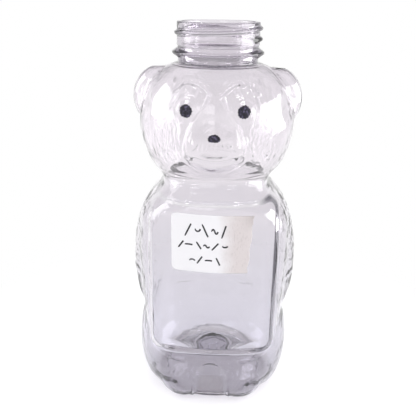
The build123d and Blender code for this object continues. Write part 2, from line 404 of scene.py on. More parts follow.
@dataclass
class Body:
    """The bear's outer form below the neck: level sections, limbs, ears, muzzle and label panels."""

    trunk_height: float = 104.0
    head_height: float = 48.4
    trunk_width: float = 67.2
    trunk_depth: float = 66.0
    head_width: float = 67.8
    head_depth: float = 60.4
    panel_width: float = 53.2
    panel_bottom: float = 29.8
    panel_top: float = 98.18
    panel_corner: float = 4.0
    panel_round: float = 75.0
    panel_recess: float = 0.7
    front_edge: float = 0.75
    back_edge: float = 3.2
    lip_height: float = 0.6
    lip_width: float = 0.55
    ear_hollow_depth: float = 0.9
    ear_hollow_middle: tuple[float, float] = (30.6, 137.0)
    ear_hollow_half: tuple[float, float] = (4.6, 8.0)
    knuckle_height: float = 0.6
    knuckle_pitch: float = 5.2
    cuff_height: float = 0.4
    cuff_level: float = 60.5
    cuff_width: float = 0.9
    toe_depth: float = 0.35
    toe_width: float = 0.55
    toe_places: tuple[float, float] = (11.6, 16.4)
    strand_height: float = 0.2
    strand_pitch: float = 2.6
    room_x: float = 37.0
    room_front: float = 33.2
    room_back: float = 32.3
    knee: float = 0.8
    nape_fill: float = 2.3
    nape_height: float = 106.3
    nape_width: float = 3.2
    trunk_shares: tuple[tuple[float, float, float, float], ...] = (
        (0.00, 0.720, 0.720, 0.60),
        (0.02, 0.830, 0.825, 0.62),
        (0.06, 0.915, 0.915, 0.68),
        (0.14, 0.960, 0.965, 0.77),
        (0.26, 0.962, 0.985, 0.84),
        (0.36, 0.930, 0.992, 0.88),
        (0.46, 0.962, 0.996, 0.87),
        (0.60, 1.000, 1.000, 0.86),
        (0.79, 0.995, 1.000, 0.86),
        (0.875, 0.940, 0.997, 0.84),
        (0.93, 0.810, 0.975, 0.80),
        (0.96, 0.725, 0.915, 0.74),
        (0.985, 0.690, 0.820, 0.68),
    )
    head_shares: tuple[tuple[float, float, float, float], ...] = (
        (0.03, 0.735, 0.790, 0.60),
        (0.09, 0.810, 0.810, 0.58),
        (0.147, 0.868, 0.868, 0.57),
        (0.26, 0.935, 0.958, 0.57),
        (0.43, 0.990, 1.000, 0.57),
        (0.58, 0.988, 0.993, 0.57),
        (0.72, 0.946, 0.944, 0.56),
        (0.835, 0.850, 0.854, 0.56),
        (0.92, 0.735, 0.746, 0.56),
        (0.975, 0.625, 0.640, 0.5523),
        (1.00, 0.530, 0.605, 0.5523),
    )
    face: Face = field(default_factory=Face)
    lumps: list[Lump] = field(default_factory=list)
    foot_lines: list[Ridge] = field(default_factory=list)
    foot_gap: Lump = Lump((0, -35.0, 5.0), (10.6, 7.4, 20.0), 0.6)

    def __post_init__(self) -> None:
        """Works out the level sections and the lumps of both sides."""
        rows = []
        for shares, foot, tall, wide, deep in (
            (self.trunk_shares, 0, self.trunk_height, self.trunk_width, self.trunk_depth),
            (self.head_shares, self.trunk_height, self.head_height, self.head_width, self.head_depth),
        ):
            for height, width, depth, square in shares:
                rows.append((foot + tall * height, wide / 2 * width, deep / 2 * depth, square))
        self.levels = np.array(rows).T
        self.lumps.append(Lump((0, -23.2, 122.0), (14.0, 10.5, 12.0), 2.5))
        for side in Side:
            self.lumps += [
                Lump((side.value * 24.0, 0, 137.6), (12.6, 7.5, 13.6), 1.6),
                Lump((side.value * 25.0, -3.0, 64.5), (12.3, 17.5, 32.0), 2.0),
                Lump((side.value * 21.6, -3.0, 23.5), (13.8, 22.9, 28.0), 2.0),
                Lump((side.value * 12.6, -20.0, 10.3), (11.8, 11.0, 11.3), 1.8),
            ]
            self.foot_lines += self.leg_lines(side.value)

    def leg_lines(self, side: int) -> list[Ridge]:
        """Makes the inner edge of a foot, the ticks over it and the line of the knee.

        Args:
            side: Sign of X of this leg.

        Returns:
            The lines.
        """
        inner = ((9.0, 0.8), (7.9, 4.0), (7.3, 8.0), (7.8, 11.5), (9.4, 14.0), (12.0, 15.2))
        knee = ((26.5, 30.5), (24.0, 28.0), (20.5, 26.2), (16.0, 25.0), (12.5, 24.6))
        lines = [Ridge.on_side(side, inner, 0.75, 0.5), Ridge.on_side(side, knee, 0.6, 0.4)]
        for tick in range(6):
            x, z = 10.4 + 2.1 * tick, 18.2 + 0.9 * math.sin(2.3 * tick) - 0.2 * tick
            lines.append(Ridge.on_side(side, ((x, z), (x + 0.9, z - 1.6)), 0.45, 0.35))
        return lines

    def plain_radius(self, angles: np.ndarray, heights: np.ndarray) -> np.ndarray:
        """Gives the radius of the trunk and the head alone, without limbs.

        Args:
            angles: Directions around the axis.
            heights: Heights of the points.

        Returns:
            Radii in millimetres.
        """
        stations, half_widths, half_depths, squares = self.levels
        half_width = smooth_curve(heights, stations, half_widths)
        half_depth = smooth_curve(heights, stations, half_depths)
        square = smooth_curve(heights, stations, squares)
        power = -math.log(2) / np.log(0.5 + 0.375 * square)
        across = np.abs(np.cos(angles)) / half_width
        along = np.abs(np.sin(angles)) / half_depth
        return (across ** power + along ** power) ** (-1 / power)

    def panel_radius(self, angles: np.ndarray) -> np.ndarray:
        """Gives the radius of the label panels' round, front and back alike.

        Args:
            angles: Directions around the axis.

        Returns:
            Radii in millimetres.
        """
        centre = self.panel_round + self.panel_recess - self.trunk_depth / 2
        facing = -np.abs(np.sin(angles)) * centre
        return facing + np.sqrt(facing ** 2 - centre ** 2 + self.panel_round ** 2)

    def panel_distance(self, across: np.ndarray, up: np.ndarray) -> np.ndarray:
        """Gives the distance to the panels' rounded outline.

        Args:
            across: X of the points.
            up: Heights of the points.

        Returns:
            Distances in millimetres, negative inside the outline.
        """
        middle = (self.panel_bottom + self.panel_top) / 2
        out_x = np.abs(across) - self.panel_width / 2 + self.panel_corner
        out_z = np.abs(up - middle) - (self.panel_top - self.panel_bottom) / 2 + self.panel_corner
        outside = np.hypot(np.clip(out_x, 0, None), np.clip(out_z, 0, None))
        return outside + np.minimum(np.maximum(out_x, out_z), 0) - self.panel_corner

    def radius(self, angles: np.ndarray, heights: np.ndarray) -> np.ndarray:
        """Gives the radius of the smooth bear, with its limbs and panels but no lines.

        Args:
            angles: Directions around the axis.
            heights: Heights of the points.

        Returns:
            Radii in millimetres.
        """
        radius = self.plain_radius(angles, heights)
        nape = np.exp(-((heights - self.nape_height) / self.nape_width) ** 2)
        radius = radius + self.nape_fill * nape * smooth_rise(np.sin(angles), -0.12, 0.65)
        for lump in self.lumps:
            radius = soft_union(radius, lump.reach(angles, heights), lump.softness)
        bite = self.foot_gap.bite(angles, heights)
        radius = -soft_union(-radius, -bite, self.foot_gap.softness)
        panel = self.panel_radius(angles)
        distance = self.panel_distance(panel * np.cos(angles), heights)
        edge = np.where(np.sin(angles) < 0, self.front_edge, self.back_edge)
        sunk = smooth_rise(-distance / edge, 0, 1)
        return radius - sunk * np.clip(radius - panel, 0, None)

    def forms(self, points: np.ndarray, normals: np.ndarray) -> np.ndarray:
        """Gives how far the soft forms lift both skins along their normal.

        Args:
            points: Points of the smooth skin.
            normals: Outward normals there.

        Returns:
            Lifts in millimetres.
        """
        x, y, z = np.moveaxis(points, -1, 0)
        side = np.abs(x)
        front, outer, head = self.zones(z, normals)
        lift = self.face.swelling(x, z) * front * head
        (ear_x, ear_z), (half_x, half_z) = self.ear_hollow_middle, self.ear_hollow_half
        ear_off = np.hypot((side - ear_x) / half_x, (z - ear_z) / half_z)
        lift -= self.ear_hollow_depth * (1 - smooth_rise(ear_off, 0.3, 1.0)) * front
        knuckles = np.sin(TURN * (y + 3) / self.knuckle_pitch) ** 2 - 0.6
        paw = outer * band(z, (45, 49), (57, 60)) * (1 - smooth_rise(np.abs(y + 5), 9, 13))
        lift += self.knuckle_height * paw * knuckles
        cuff = np.exp(-((z - self.cuff_level) / self.cuff_width) ** 2)
        lift += self.cuff_height * cuff * outer * (1 - smooth_rise(np.abs(y + 3), 13, 16))
        toes = sum(np.exp(-(((side - place) / self.toe_width) ** 2)) for place in self.toe_places)
        return lift - self.toe_depth * toes * front * band(z, (2.5, 4), (6, 9))

    @staticmethod
    def zones(heights: np.ndarray, normals: np.ndarray) -> tuple[np.ndarray, ...]:
        """Gives where the skin looks to the front and to the sides, and where the head is.

        Args:
            heights: Heights of the skin's points.
            normals: Outward normals there.

        Returns:
            Three sets of shares from 0 to 1.
        """
        front = smooth_rise(-normals[..., 1], 0.15, 0.5)
        outer = smooth_rise(np.abs(normals[..., 0]), 0.35, 0.75)
        return front, outer, band(heights, (106, 109), (150, 151.5))

    def lines(self, points: np.ndarray, normals: np.ndarray) -> np.ndarray:
        """Gives how far the thin lines lift the outer skin along its normal.

        Args:
            points: Points of the skin with its soft forms.
            normals: Outward normals there.

        Returns:
            Lifts in millimetres.
        """
        x, y, z = np.moveaxis(points, -1, 0)
        front, outer, head = self.zones(z, normals)
        lift = self.face.lines(x, z) * front * head
        lift += sum(ridge.relief(x, z) for ridge in self.foot_lines) * front * band(z, (0.2, 1.2), (31, 33))
        distance = self.panel_distance(x, z)
        lip = np.exp(-((distance - self.lip_width) / self.lip_width) ** 2)
        lift += self.lip_height * lip * smooth_rise(-normals[..., 1], 0.3, 0.6)
        sleeve = outer * band(z, (60, 64), (90, 95)) * (1 - smooth_rise(np.abs(y + 3), 12, 16))
        slanted = TURN * (z - 0.35 * np.abs(y + 4)) / self.strand_pitch
        strands = np.sin(slanted + 1.3 * np.sin(y / 1.7)) ** 3
        return lift + self.strand_height * strands * sleeve

    def within_room(self, points: np.ndarray) -> np.ndarray:
        """Presses the widest points softly into the room that the bottle takes up.

        Args:
            points: Points of the skin.

        Returns:
            The points, none of them outside the room.
        """
        x, y, z = np.moveaxis(points, -1, 0)
        room_y = np.where(y < 0, self.room_front, self.room_back)
        return np.stack((self.pressed(x, self.room_x), self.pressed(y, room_y), z), axis=-1)

    def pressed(self, places: np.ndarray, room: np.ndarray | float) -> np.ndarray:
        """Presses places along one axis softly into the room on both sides of the neck's axis."""
        over = np.clip(np.abs(places) - room + self.knee, 0, None)
        return np.sign(places) * (np.abs(places) - over + self.knee * np.tanh(over / self.knee))


@dataclass
class Neck:
    """The neck with its 38 mm finish, its support ring and its screw thread."""

    rim_level: float = 169.0
    root_level: float = 152.4
    finish_radius: float = 17.5
    finish_depth: float = 9.3
    finish_step: float = 0.6
    bore_radius: float = 15.5
    lower_radius: float = 17.1
    rim_round: float = 0.5
    ring_radius: float = 19.5
    ring_depth: float = 12.5
    ring_root: float = 2.2
    bead_rise: float = 0.8
    groove_depth: float = 0.15
    groove_level: float = 0.6
    groove_width: float = 0.45
    crest_radius: float = 18.6
    pitch: float = 4.233
    root_width: float = 2.4
    crest_width: float = 0.8
    start_depth: float = 7.2
    start_angle: float = -36.0
    sweep_angle: float = 430.0
    fade_angle: float = 30.0

    def radius(self, angles: np.ndarray, heights: np.ndarray) -> np.ndarray:
        """Gives the neck's outer radius.

        Args:
            angles: Directions around the axis.
            heights: Heights of the points.

        Returns:
            Radii in millimetres.
        """
        ring = self.rim_level - self.ring_depth
        step = self.rim_level - self.finish_depth
        plain = np.interp(heights, (self.root_level, step - self.finish_step, step, self.rim_level),
                          (self.lower_radius, self.lower_radius, self.finish_radius, self.finish_radius))
        off = np.clip(np.abs(heights - ring) / self.ring_root, 0, 1)
        bead = (self.ring_radius - self.lower_radius) * np.clip((1 - off) / self.bead_rise, 0, 1)
        above = heights - self.root_level - self.groove_level
        groove = self.groove_depth * np.exp(-(above / self.groove_width) ** 2)
        return plain + bead - groove + self.thread(angles, heights)

    def thread(self, angles: np.ndarray, heights: np.ndarray) -> np.ndarray:
        """Gives how far the thread stands out of the finish.

        Args:
            angles: Directions around the axis.
            heights: Heights of the points.

        Returns:
            Lifts in millimetres.
        """
        turned = np.degrees(angles) - self.start_angle
        lift = np.zeros(np.broadcast(angles, heights).shape)
        for turn in range(-1, 3):
            along = turned + 360 * turn
            left = np.minimum(along, self.sweep_angle - along)
            grown = np.sin(np.radians(90) * np.clip(left / self.fade_angle, 0, 1)) ** 2
            centre = self.rim_level - self.start_depth + self.pitch * along / 360
            off = np.abs(heights - centre)
            share = 1 - smooth_rise(off, self.crest_width / 2, self.root_width / 2)
            lift = np.maximum(lift, (self.crest_radius - self.finish_radius) * share * grown)
        return lift


@dataclass
class Base:
    """The push-up under the bottle, with a round boss and the gate mark at its middle."""

    half_width: float = 23.0
    half_depth: float = 21.5
    height: float = 12.5
    boss_radius: float = 7.7
    boss_level: float = 11.4
    gate_radius: float = 1.5
    gate_height: float = 0.8
    gate_edge: tuple[float, float] = (0.7, 0.4)
    boss_edge: float = 0.5
    floor_step: float = 0.8
    floor_step_width: float = 0.7
    dish_edge: tuple[float, float] = (3.0, 7.3)
    dish_depth: float = 0.5
    nub_height: float = 0.8
    nub_radius: float = 2.0

    def mean(self, grown: float = 0.0) -> float:
        """Gives the mean radius of the push-up's foot, grown by a wall."""
        return (self.half_width + self.half_depth) / 2 + grown

    def outline(self, angles: np.ndarray, grown: float) -> np.ndarray:
        """Gives the radius of the push-up's foot.

        Args:
            angles: Directions around the axis.
            grown: Thickness of the wall that it is grown by.

        Returns:
            Radii in millimetres.
        """
        across = np.cos(angles) / (self.half_width + grown)
        along = np.sin(angles) / (self.half_depth + grown)
        return 1 / np.hypot(across, along)

    def under_level(self, radius: float) -> float:
        """Gives the height of the underside at a radius from the axis.

        Args:
            radius: Distance from the axis.

        Returns:
            The height.
        """
        dome = self.height * math.sqrt(max(0.0, 1 - (radius / self.mean()) ** 2))
        boss = 1 - smooth_rise(radius, self.boss_radius - self.boss_edge, self.boss_radius)
        inner, outer = self.gate_edge
        gate = 1 - smooth_rise(radius, self.gate_radius - inner, self.gate_radius + outer)
        return dome + (self.boss_level - dome) * boss - self.gate_height * gate

    def floor_level(self, radius: float, wall: float) -> float:
        """Gives the height of the floor inside at a radius from the axis.

        Args:
            radius: Distance from the axis.
            wall: Thickness of the floor.

        Returns:
            The height.
        """
        dome = (self.height + wall) * math.sqrt(max(0.0, 1 - (radius / self.mean(wall)) ** 2))
        rim = math.exp(-((radius - self.boss_radius) / self.floor_step_width) ** 2)
        dish = 1 - smooth_rise(radius, *self.dish_edge)
        nub = math.exp(-(radius / self.nub_radius) ** 4)
        return dome + self.floor_step * rim - self.dish_depth * dish + self.nub_height * nub


@dataclass
class Bottle:
    """The whole clear bottle as one closed skin, spun from a line of rings and then shaped."""

    body: Body
    neck: Neck
    base: Base
    finish: "ClearPlastic"
    wall: float = 0.6
    foot_wall: float = 1.2
    columns: int = 240
    wall_rings: int = 230
    neck_rings: int = 46
    inner_rings: int = 76
    face_turn: tuple[float, float] = (270.0, 62.0)
    panel_edges: tuple[float, float] = (45.8, 134.2)
    panel_edge_width: float = 2.5
    depth_rounds: int = 12
    lean_step: float = 0.05

    def column_angles(self) -> np.ndarray:
        """Spreads the columns around the axis, closer on the face and at the panels' edges.

        Returns:
            The directions of the columns.
        """
        turns = np.linspace(0, TURN, 3601)
        degrees = np.degrees(turns)
        front, half = self.face_turn
        density = 0.8 + 1.7 * np.exp(-((degrees - front) / half) ** 4)
        for edge in self.panel_edges:
            for place, extra in ((edge, 1.8), (360 - edge, 1.0)):
                density += extra * np.exp(-((degrees - place) / self.panel_edge_width) ** 2)
        return spread(density, turns, self.columns + 1)[:-1]

    def ring_levels(self, samples: int, count: int, table: Line, extra: float, width: float) -> np.ndarray:
        """Spreads rings up the body by the length of its side, closer at the panels' ends.

        Args:
            samples: How many heights are tried.
            count: How many rings to place.
            table: Heights, each with the density wanted there.
            extra: Density added at the panels' ends.
            width: How far that reaches.

        Returns:
            The rings' heights.
        """
        levels = np.linspace(0, self.neck.root_level, samples)
        side = self.body.plain_radius(np.zeros(levels.shape), levels)
        density = np.hypot(1, np.gradient(side, levels)) * np.interp(levels, *zip(*table))
        for edge in (self.body.panel_bottom, self.body.panel_top):
            density += extra * np.exp(-((levels - edge) / width) ** 2)
        return spread(density, levels, count)

    def wall_levels(self) -> np.ndarray:
        """Gives the heights of the outer rings, closer on the face.

        Returns:
            The heights.
        """
        table = ((0, 2.0), (3, 2.0), (6, 1.2), (26, 1.2), (34, 1.0), (58, 1.0), (92, 1.2), (104, 1.2),
                 (114, 1.6), (120, 2.1))
        return self.ring_levels(3000, self.wall_rings, table, 2.0, 1.6)

    def body_points(self, angles: np.ndarray, levels: np.ndarray) -> tuple[np.ndarray, ...]:
        """Works out the skin of the body with its soft forms.

        Args:
            angles: Directions of the columns.
            levels: Heights of the rings.

        Returns:
            The points and their outward normals, ring by ring, and a share that runs out at both ends.
        """
        turn, height = np.meshgrid(angles, levels)
        points = around_axis(self.body.radius(turn, height), turn, height)
        normals = self.normals(points)
        inner_share = band(height, (0.3, 2.5), (150.8, 152.2))
        lift = self.body.forms(points, normals) * inner_share
        points = self.body.within_room(points + normals * lift[..., None])
        return points, self.normals(points), inner_share

    @staticmethod
    def normals(points: np.ndarray) -> np.ndarray:
        """Works out the outward normals of a grid of points that closes around the axis.

        Args:
            points: The points, ring by ring.

        Returns:
            The normals, of length 1.
        """
        around = np.roll(points, -1, axis=1) - np.roll(points, 1, axis=1)
        upwards = np.gradient(points, axis=0)
        normals = np.cross(around, upwards)
        return normals / np.linalg.norm(normals, axis=-1, keepdims=True)

    def base_rings(self, angles: np.ndarray, wall: float) -> np.ndarray:
        """Makes the rings of the push-up, of its underside or, with a wall, of the floor over it.

        Args:
            angles: Directions of the columns.
            wall: Thickness added to the push-up, 0 for its underside.

        Returns:
            The points, ring by ring from the middle outwards.
        """
        mean = self.base.mean(wall)
        outline = self.base.outline(angles, wall) / mean
        rings = []
        for radius in self.base_radii(mean):
            level = self.base.floor_level(radius, wall) if wall else self.base.under_level(radius)
            share = smooth_rise(radius, self.base.boss_radius, mean)
            rings.append(around_axis(radius * (1 + (outline - 1) * share), angles, level))
        return np.array(rings)

    def base_radii(self, mean: float) -> np.ndarray:
        """Spreads the push-up's rings from the middle outwards, closer at the boss's edge.

        Args:
            mean: Mean radius of the push-up's foot.

        Returns:
            The rings' mean radii.
        """
        inner = (0.0, 0.5, 1.0, 1.5, 2.0, 3.0, 4.5, 6.2, 6.8, 7.2, 7.45, 7.7, 8.0, 8.6)
        outer = mean * np.sin(np.radians(np.linspace(26, 88, 10)))
        return np.concatenate((inner, outer))

    def contact_rings(self, angles: np.ndarray) -> np.ndarray:
        """Makes the ring that the bottle stands on, between the push-up and the heel.

        Args:
            angles: Directions of the columns.

        Returns:
            The points, ring by ring.
        """
        outer = self.body.radius(angles, np.zeros(angles.shape))
        inner = self.base.outline(angles, 0)
        return np.array([around_axis(inner + (outer - inner) * share, angles, 0.0) for share in (0.25, 0.6)])

    def outer_rings(self, angles: np.ndarray) -> list[np.ndarray]:
        """Makes the outer skin from the gate mark to the rim.

        Args:
            angles: Directions of the columns.

        Returns:
            The rings of the base, the contact ring, the body and the neck.
        """
        body, normals, share = self.body_points(angles, self.wall_levels())
        body += normals * (self.body.lines(body, normals) * share)[..., None]
        low = self.neck.root_level
        even = np.linspace(low, self.neck.rim_level - self.neck.rim_round, 400)
        levels = spread(1 + 1.6 * np.exp(-((even - low) / 1.3) ** 2), even, self.neck_rings)
        turn, height = np.meshgrid(angles, levels)
        neck = around_axis(self.neck.radius(turn, height), turn, height)
        return [self.base_rings(angles, 0), self.contact_rings(angles), body, neck]

    def rim_profile(self) -> list[tuple[float, float]]:
        """Gives the rim's rounded section and the bore down to the shoulder.

        Returns:
            Radius and height of each ring.
        """
        rim, rounding = self.neck.rim_level, self.neck.rim_round
        outer, inner = self.neck.finish_radius, self.neck.bore_radius
        profile = []
        for edge, way, turns in ((outer, -1, (30, 60, 90)), (inner, 1, (90, 60, 30, 0))):
            for lean in np.radians(turns):
                across = edge + way * rounding * (1 - math.cos(lean))
                profile.append((across, rim - rounding * (1 - math.sin(lean))))
        for share in (0.25, 0.5, 0.75, 1.0):
            profile.append((inner, rim - rounding - share * (rim - self.neck.root_level - rounding)))
        return profile

    def inner_wall(self, angles: np.ndarray) -> np.ndarray:
        """Makes the inner skin of the body, a wall inside the smooth outer one, from the top down.

        Args:
            angles: Directions of the columns.

        Returns:
            The points, ring by ring.
        """
        table = ((0, 2), (6, 2), (12, 1), (108, 1), (118, 1.7))
        levels = self.ring_levels(2000, self.inner_rings, table, 1.5, 1.2)
        points, normals, _ = self.body_points(angles, levels)
        wall = self.wall + (self.foot_wall - self.wall) * (1 - smooth_rise(points[..., 2], 0.8, 3.5))
        inset = points - normals * wall[..., None]
        inset[..., 2] = np.maximum(inset[..., 2], self.foot_wall)
        return inset[1:-1][::-1]

    def rings(self) -> np.ndarray:
        """Lists every ring of the closed skin, from the gate mark out, up, in and down to the floor.

        Returns:
            The points, ring by ring.
        """
        angles = self.column_angles()
        rim = [around_axis(radius, angles, height) for radius, height in self.rim_profile()]
        floor = self.base_rings(angles, self.foot_wall)[::-1]
        return np.concatenate((*self.outer_rings(angles), np.array(rim), self.inner_wall(angles), floor))

    def build(self) -> bpy.types.Object:
        """Makes the bottle.

        Returns:
            The object, shown in place of the bottle's part, which is hidden.
        """
        rings = self.rings()
        mesh = spun_line([(1, 0, index) for index in range(len(rings))], self.columns)
        for vert in mesh.verts:
            column = round(math.atan2(vert.co.y, vert.co.x) / TURN * self.columns) % self.columns
            vert.co = rings[round(vert.co.z), column] * MM
        bmesh.ops.remove_doubles(mesh, verts=mesh.verts, dist=1e-6)
        bmesh.ops.recalc_face_normals(mesh, faces=mesh.faces)
        piece = finish_piece("bear_bottle", mesh, self.finish.material())
        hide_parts("bottle")
        return piece

    def skin_depth(self, across: np.ndarray, up: np.ndarray, proud: float) -> np.ndarray:
        """Finds the Y of the outer skin's front over a place of the front view.

        Args:
            across: X of the places.
            up: Heights of the places.
            proud: How far in front of the skin the result lies.

        Returns:
            Y of the places.
        """
        plain = self.body.plain_radius(np.full(across.shape, -math.pi / 2), up)
        depth = self.smooth_depth(across, up, -plain)
        lean_x = self.front_lean(across, up, self.lean_step, 0)
        lean_z = self.front_lean(across, up, 0, self.lean_step)
        tilt = np.sqrt(1 + lean_x ** 2 + lean_z ** 2)
        lift = self.body.face.swelling(across, up) + self.body.face.lines(across, up)
        return self.body.pressed(depth - lift * tilt, self.body.room_front) - proud * tilt

    def smooth_depth(self, across: np.ndarray, up: np.ndarray, depth: np.ndarray) -> np.ndarray:
        """Closes in on the Y of the smooth skin's front.

        Args:
            across: X of the places.
            up: Heights of the places.
            depth: A first guess of Y.

        Returns:
            Y of the places.
        """
        for _ in range(self.depth_rounds):
            radius = self.body.radius(np.arctan2(depth, across), up)
            depth = -np.sqrt(np.clip(radius ** 2 - across ** 2, 0, None))
        return depth

    def front_lean(self, across: np.ndarray, up: np.ndarray, step_x: float, step_z: float) -> np.ndarray:
        """Gives the slope of the smooth skin's Y along X or Z at the front.

        Args:
            across: X of the places.
            up: Heights of the places.
            step_x: Step along X, or 0.
            step_z: Step along Z, or 0.

        Returns:
            The slopes.
        """
        low, high = (
            self.smooth_depth(across + way * step_x, up + way * step_z, np.full(across.shape, -30.0))
            for way in (-1, 1)
        )
        return (high - low) / (2 * (step_x + step_z))


def spun_line(points: list[tuple[float, float, float]], steps: int) -> bmesh.types.BMesh:
    """Spins a line of points once around the Z axis.

    Args:
        points: The line's points.
        steps: Number of faces around the axis.

    Returns:
        The spun sheet.
    """
    mesh = bmesh.new()
    line = [mesh.verts.new(point) for point in points]
    edges = [mesh.edges.new(pair) for pair in zip(line, line[1:])]
    bmesh.ops.spin(mesh, geom=line + edges, cent=(0, 0, 0), axis=(0, 0, 1), angle=TURN, steps=steps,
                   use_merge=True)
    return mesh


def thicken(mesh: bmesh.types.BMesh, thickness: float) -> None:
    """Gives a sheet its thickness towards the front, and turns its faces outwards.

    Args:
        mesh: The sheet, in metres.
        thickness: How thick it gets, in millimetres.
    """
    front = bmesh.ops.extrude_face_region(mesh, geom=mesh.faces[:])
    lifted = [item for item in front["geom"] if isinstance(item, bmesh.types.BMVert)]
    bmesh.ops.translate(mesh, verts=lifted, vec=(0, -thickness * MM, 0))
    bmesh.ops.recalc_face_normals(mesh, faces=mesh.faces)


def finish_piece(name: str, mesh: bmesh.types.BMesh, material: bpy.types.Material) -> bpy.types.Object:
    """Turns a bmesh into a smooth object that rides on the part's one body.

    Args:
        name: Name of the piece.
        mesh: The finished shape, in metres.
        material: Its material.

    Returns:
        The new object.
    """
    data = bpy.data.meshes.new(name)
    mesh.to_mesh(data)
    mesh.free()
    data.polygons.foreach_set("use_smooth", [True] * len(data.polygons))
    piece = bpy.data.objects.new(name, data)
    bpy.context.scene.collection.objects.link(piece)
    piece.data.materials.append(material)
    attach(piece, "root")
    log.info("%s: %d vertices, %d faces", name, len(data.vertices), len(data.polygons))
    return piece


@dataclass
class InkSpot:
    """A spot of printed ink that follows the skin, with the scalloped edge that a raster leaves."""

    name: str
    middle: tuple[float, float]
    half: tuple[float, float]
    bottle: Bottle
    finish: "PrintedInk"
    thickness: float = 0.1
    sink: float = 0.03
    scallops: int = 14
    scallop_depth: float = 0.07
    ripples: tuple[tuple[int, float], ...] = ((5, 1.0), (23, 0.0))
    ripple_share: float = 0.4
    wing: float = 0.0
    segments: int = 112
    rings: int = 10

    def build(self) -> bpy.types.Object:
        """Makes the spot.

        Returns:
            The object, shown in place of the part named after the spot, which is hidden.
        """
        mesh = spun_line([(ring / self.rings, 0, 0) for ring in range(self.rings + 1)], self.segments)
        bmesh.ops.remove_doubles(mesh, verts=mesh.verts, dist=1e-5)
        for vert in mesh.verts:
            turn = math.atan2(vert.co.y, vert.co.x)
            ripple = sum(math.sin(count * turn + shift) for count, shift in self.ripples)
            ragged = math.cos(self.scallops * turn) + self.ripple_share * ripple
            edge = 1 + self.scallop_depth * ragged * vert.co.length ** 4
            spot_x, spot_z = vert.co.x * edge, vert.co.y * edge
            spot_z -= self.wing * (spot_x ** 2 - 0.3) * (0.6 - 0.4 * spot_z)
            vert.co = (spot_x * self.half[0], 0, spot_z * self.half[1])
        places = np.array([vert.co[:] for vert in mesh.verts])
        across, up = places[:, 0] + self.middle[0], places[:, 2] + self.middle[1]
        depth = self.bottle.skin_depth(across, up, -self.sink)
        for vert, x, y, z in zip(mesh.verts, across, depth, up):
            vert.co = Vector((x, y, z)) * MM
        thicken(mesh, self.thickness + self.sink)
        piece = finish_piece(f"{self.name}_print", mesh, self.finish.material())
        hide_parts(self.name)
        return piece


@dataclass
class PaperLabel:
    """The paper sticker on the front panel, torn down its right side."""

    body: Body
    finish: "LabelPaper"
    top_width: float = 34.5
    bottom_width: float = 33.0
    height: float = 26.0
    centre_height: float = 81.78
    slope: float = 0.022
    corner: float = 2.2
    thickness: float = 0.12
    tear_depth: float = 0.9
    tear_inset: float = 0.2
    fibre_waves: tuple[tuple[float, float, float], ...] = ((0.12, 61, 0), (0.08, 143, 1))
    loose_part: tuple[float, float] = (11.0, 17.5)
    loose_lift: tuple[float, float] = (0.12, 0.10)
    across_cells: int = 84
    up_cells: int = 72
    proud: float = 0.01
    tear_shares: Line = (
        (0.00, 0.00), (0.06, 0.35), (0.13, 0.20), (0.18, 0.55), (0.27, 0.30), (0.36, 0.00), (0.47, 0.25),
        (0.56, 0.70), (0.64, 0.45), (0.78, 0.20), (0.84, 0.60), (0.90, 1.00), (0.96, 0.70), (1.00, 0.45),
    )

    def left_edge(self, down: float) -> float:
        """Gives X of the left edge, with its rounded corners.

        Args:
            down: Share of the label's height from its top.

        Returns:
            X of the edge.
        """
        end = min(down, 1 - down) * self.height
        cut = 0.0
        if end < self.corner:
            cut = self.corner - math.sqrt(max(0.0, self.corner ** 2 - (self.corner - end) ** 2))
        return -self.top_width / 2 + cut

    def right_edge(self, down: float) -> float:
        """Gives X of the torn right edge.

        Args:
            down: Share of the label's height from its top.

        Returns:
            X of the edge.
        """
        stations, shares = zip(*self.tear_shares)
        fibre = sum(size * math.sin(count * down + shift) for size, count, shift in self.fibre_waves)
        plain = self.top_width / 2 + (self.bottom_width - self.top_width) * down
        return plain - self.tear_depth * np.interp(down, stations, shares) + fibre - self.tear_inset

    def level(self, x: float, down: float) -> float:
        """Gives the height of a point of the label, which slopes down a little to the right."""
        return self.centre_height + self.height * (0.5 - down) - self.slope * x

    def panel_depth(self, x: float, proud: float) -> float:
        """Gives Y of a point that stands proud of the front panel.

        Args:
            x: X of the point.
            proud: How far it stands out.

        Returns:
            Y of the point.
        """
        round_radius = self.body.panel_round
        centre = round_radius + self.body.panel_recess - self.body.trunk_depth / 2
        return centre - math.sqrt((round_radius + proud) ** 2 - x ** 2)

    def lift(self, x: float, down: float) -> float:
        """Gives how far the paper has come off the panel at its torn side."""
        even, wavy = self.loose_lift
        return smooth_rise(x, *self.loose_part) * (even + wavy * math.sin(7 * down + 0.6))

    def build(self) -> bpy.types.Object:
        """Makes the label.

        Returns:
            The object, shown in place of the label's part, which is hidden.
        """
        mesh = bmesh.new()
        bmesh.ops.create_grid(mesh, x_segments=self.across_cells, y_segments=self.up_cells, size=0.5)
        for vert in mesh.verts:
            down = 0.5 - vert.co.y
            left, right = self.left_edge(down), self.right_edge(down)
            x = left + (right - left) * (vert.co.x + 0.5)
            depth = self.panel_depth(x, self.proud + self.lift(x, down))
            vert.co = Vector((x, depth, self.level(x, down))) * MM
        thicken(mesh, self.thickness)
        piece = finish_piece("paper_label", mesh, self.finish.material())
        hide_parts("label")
        return piece


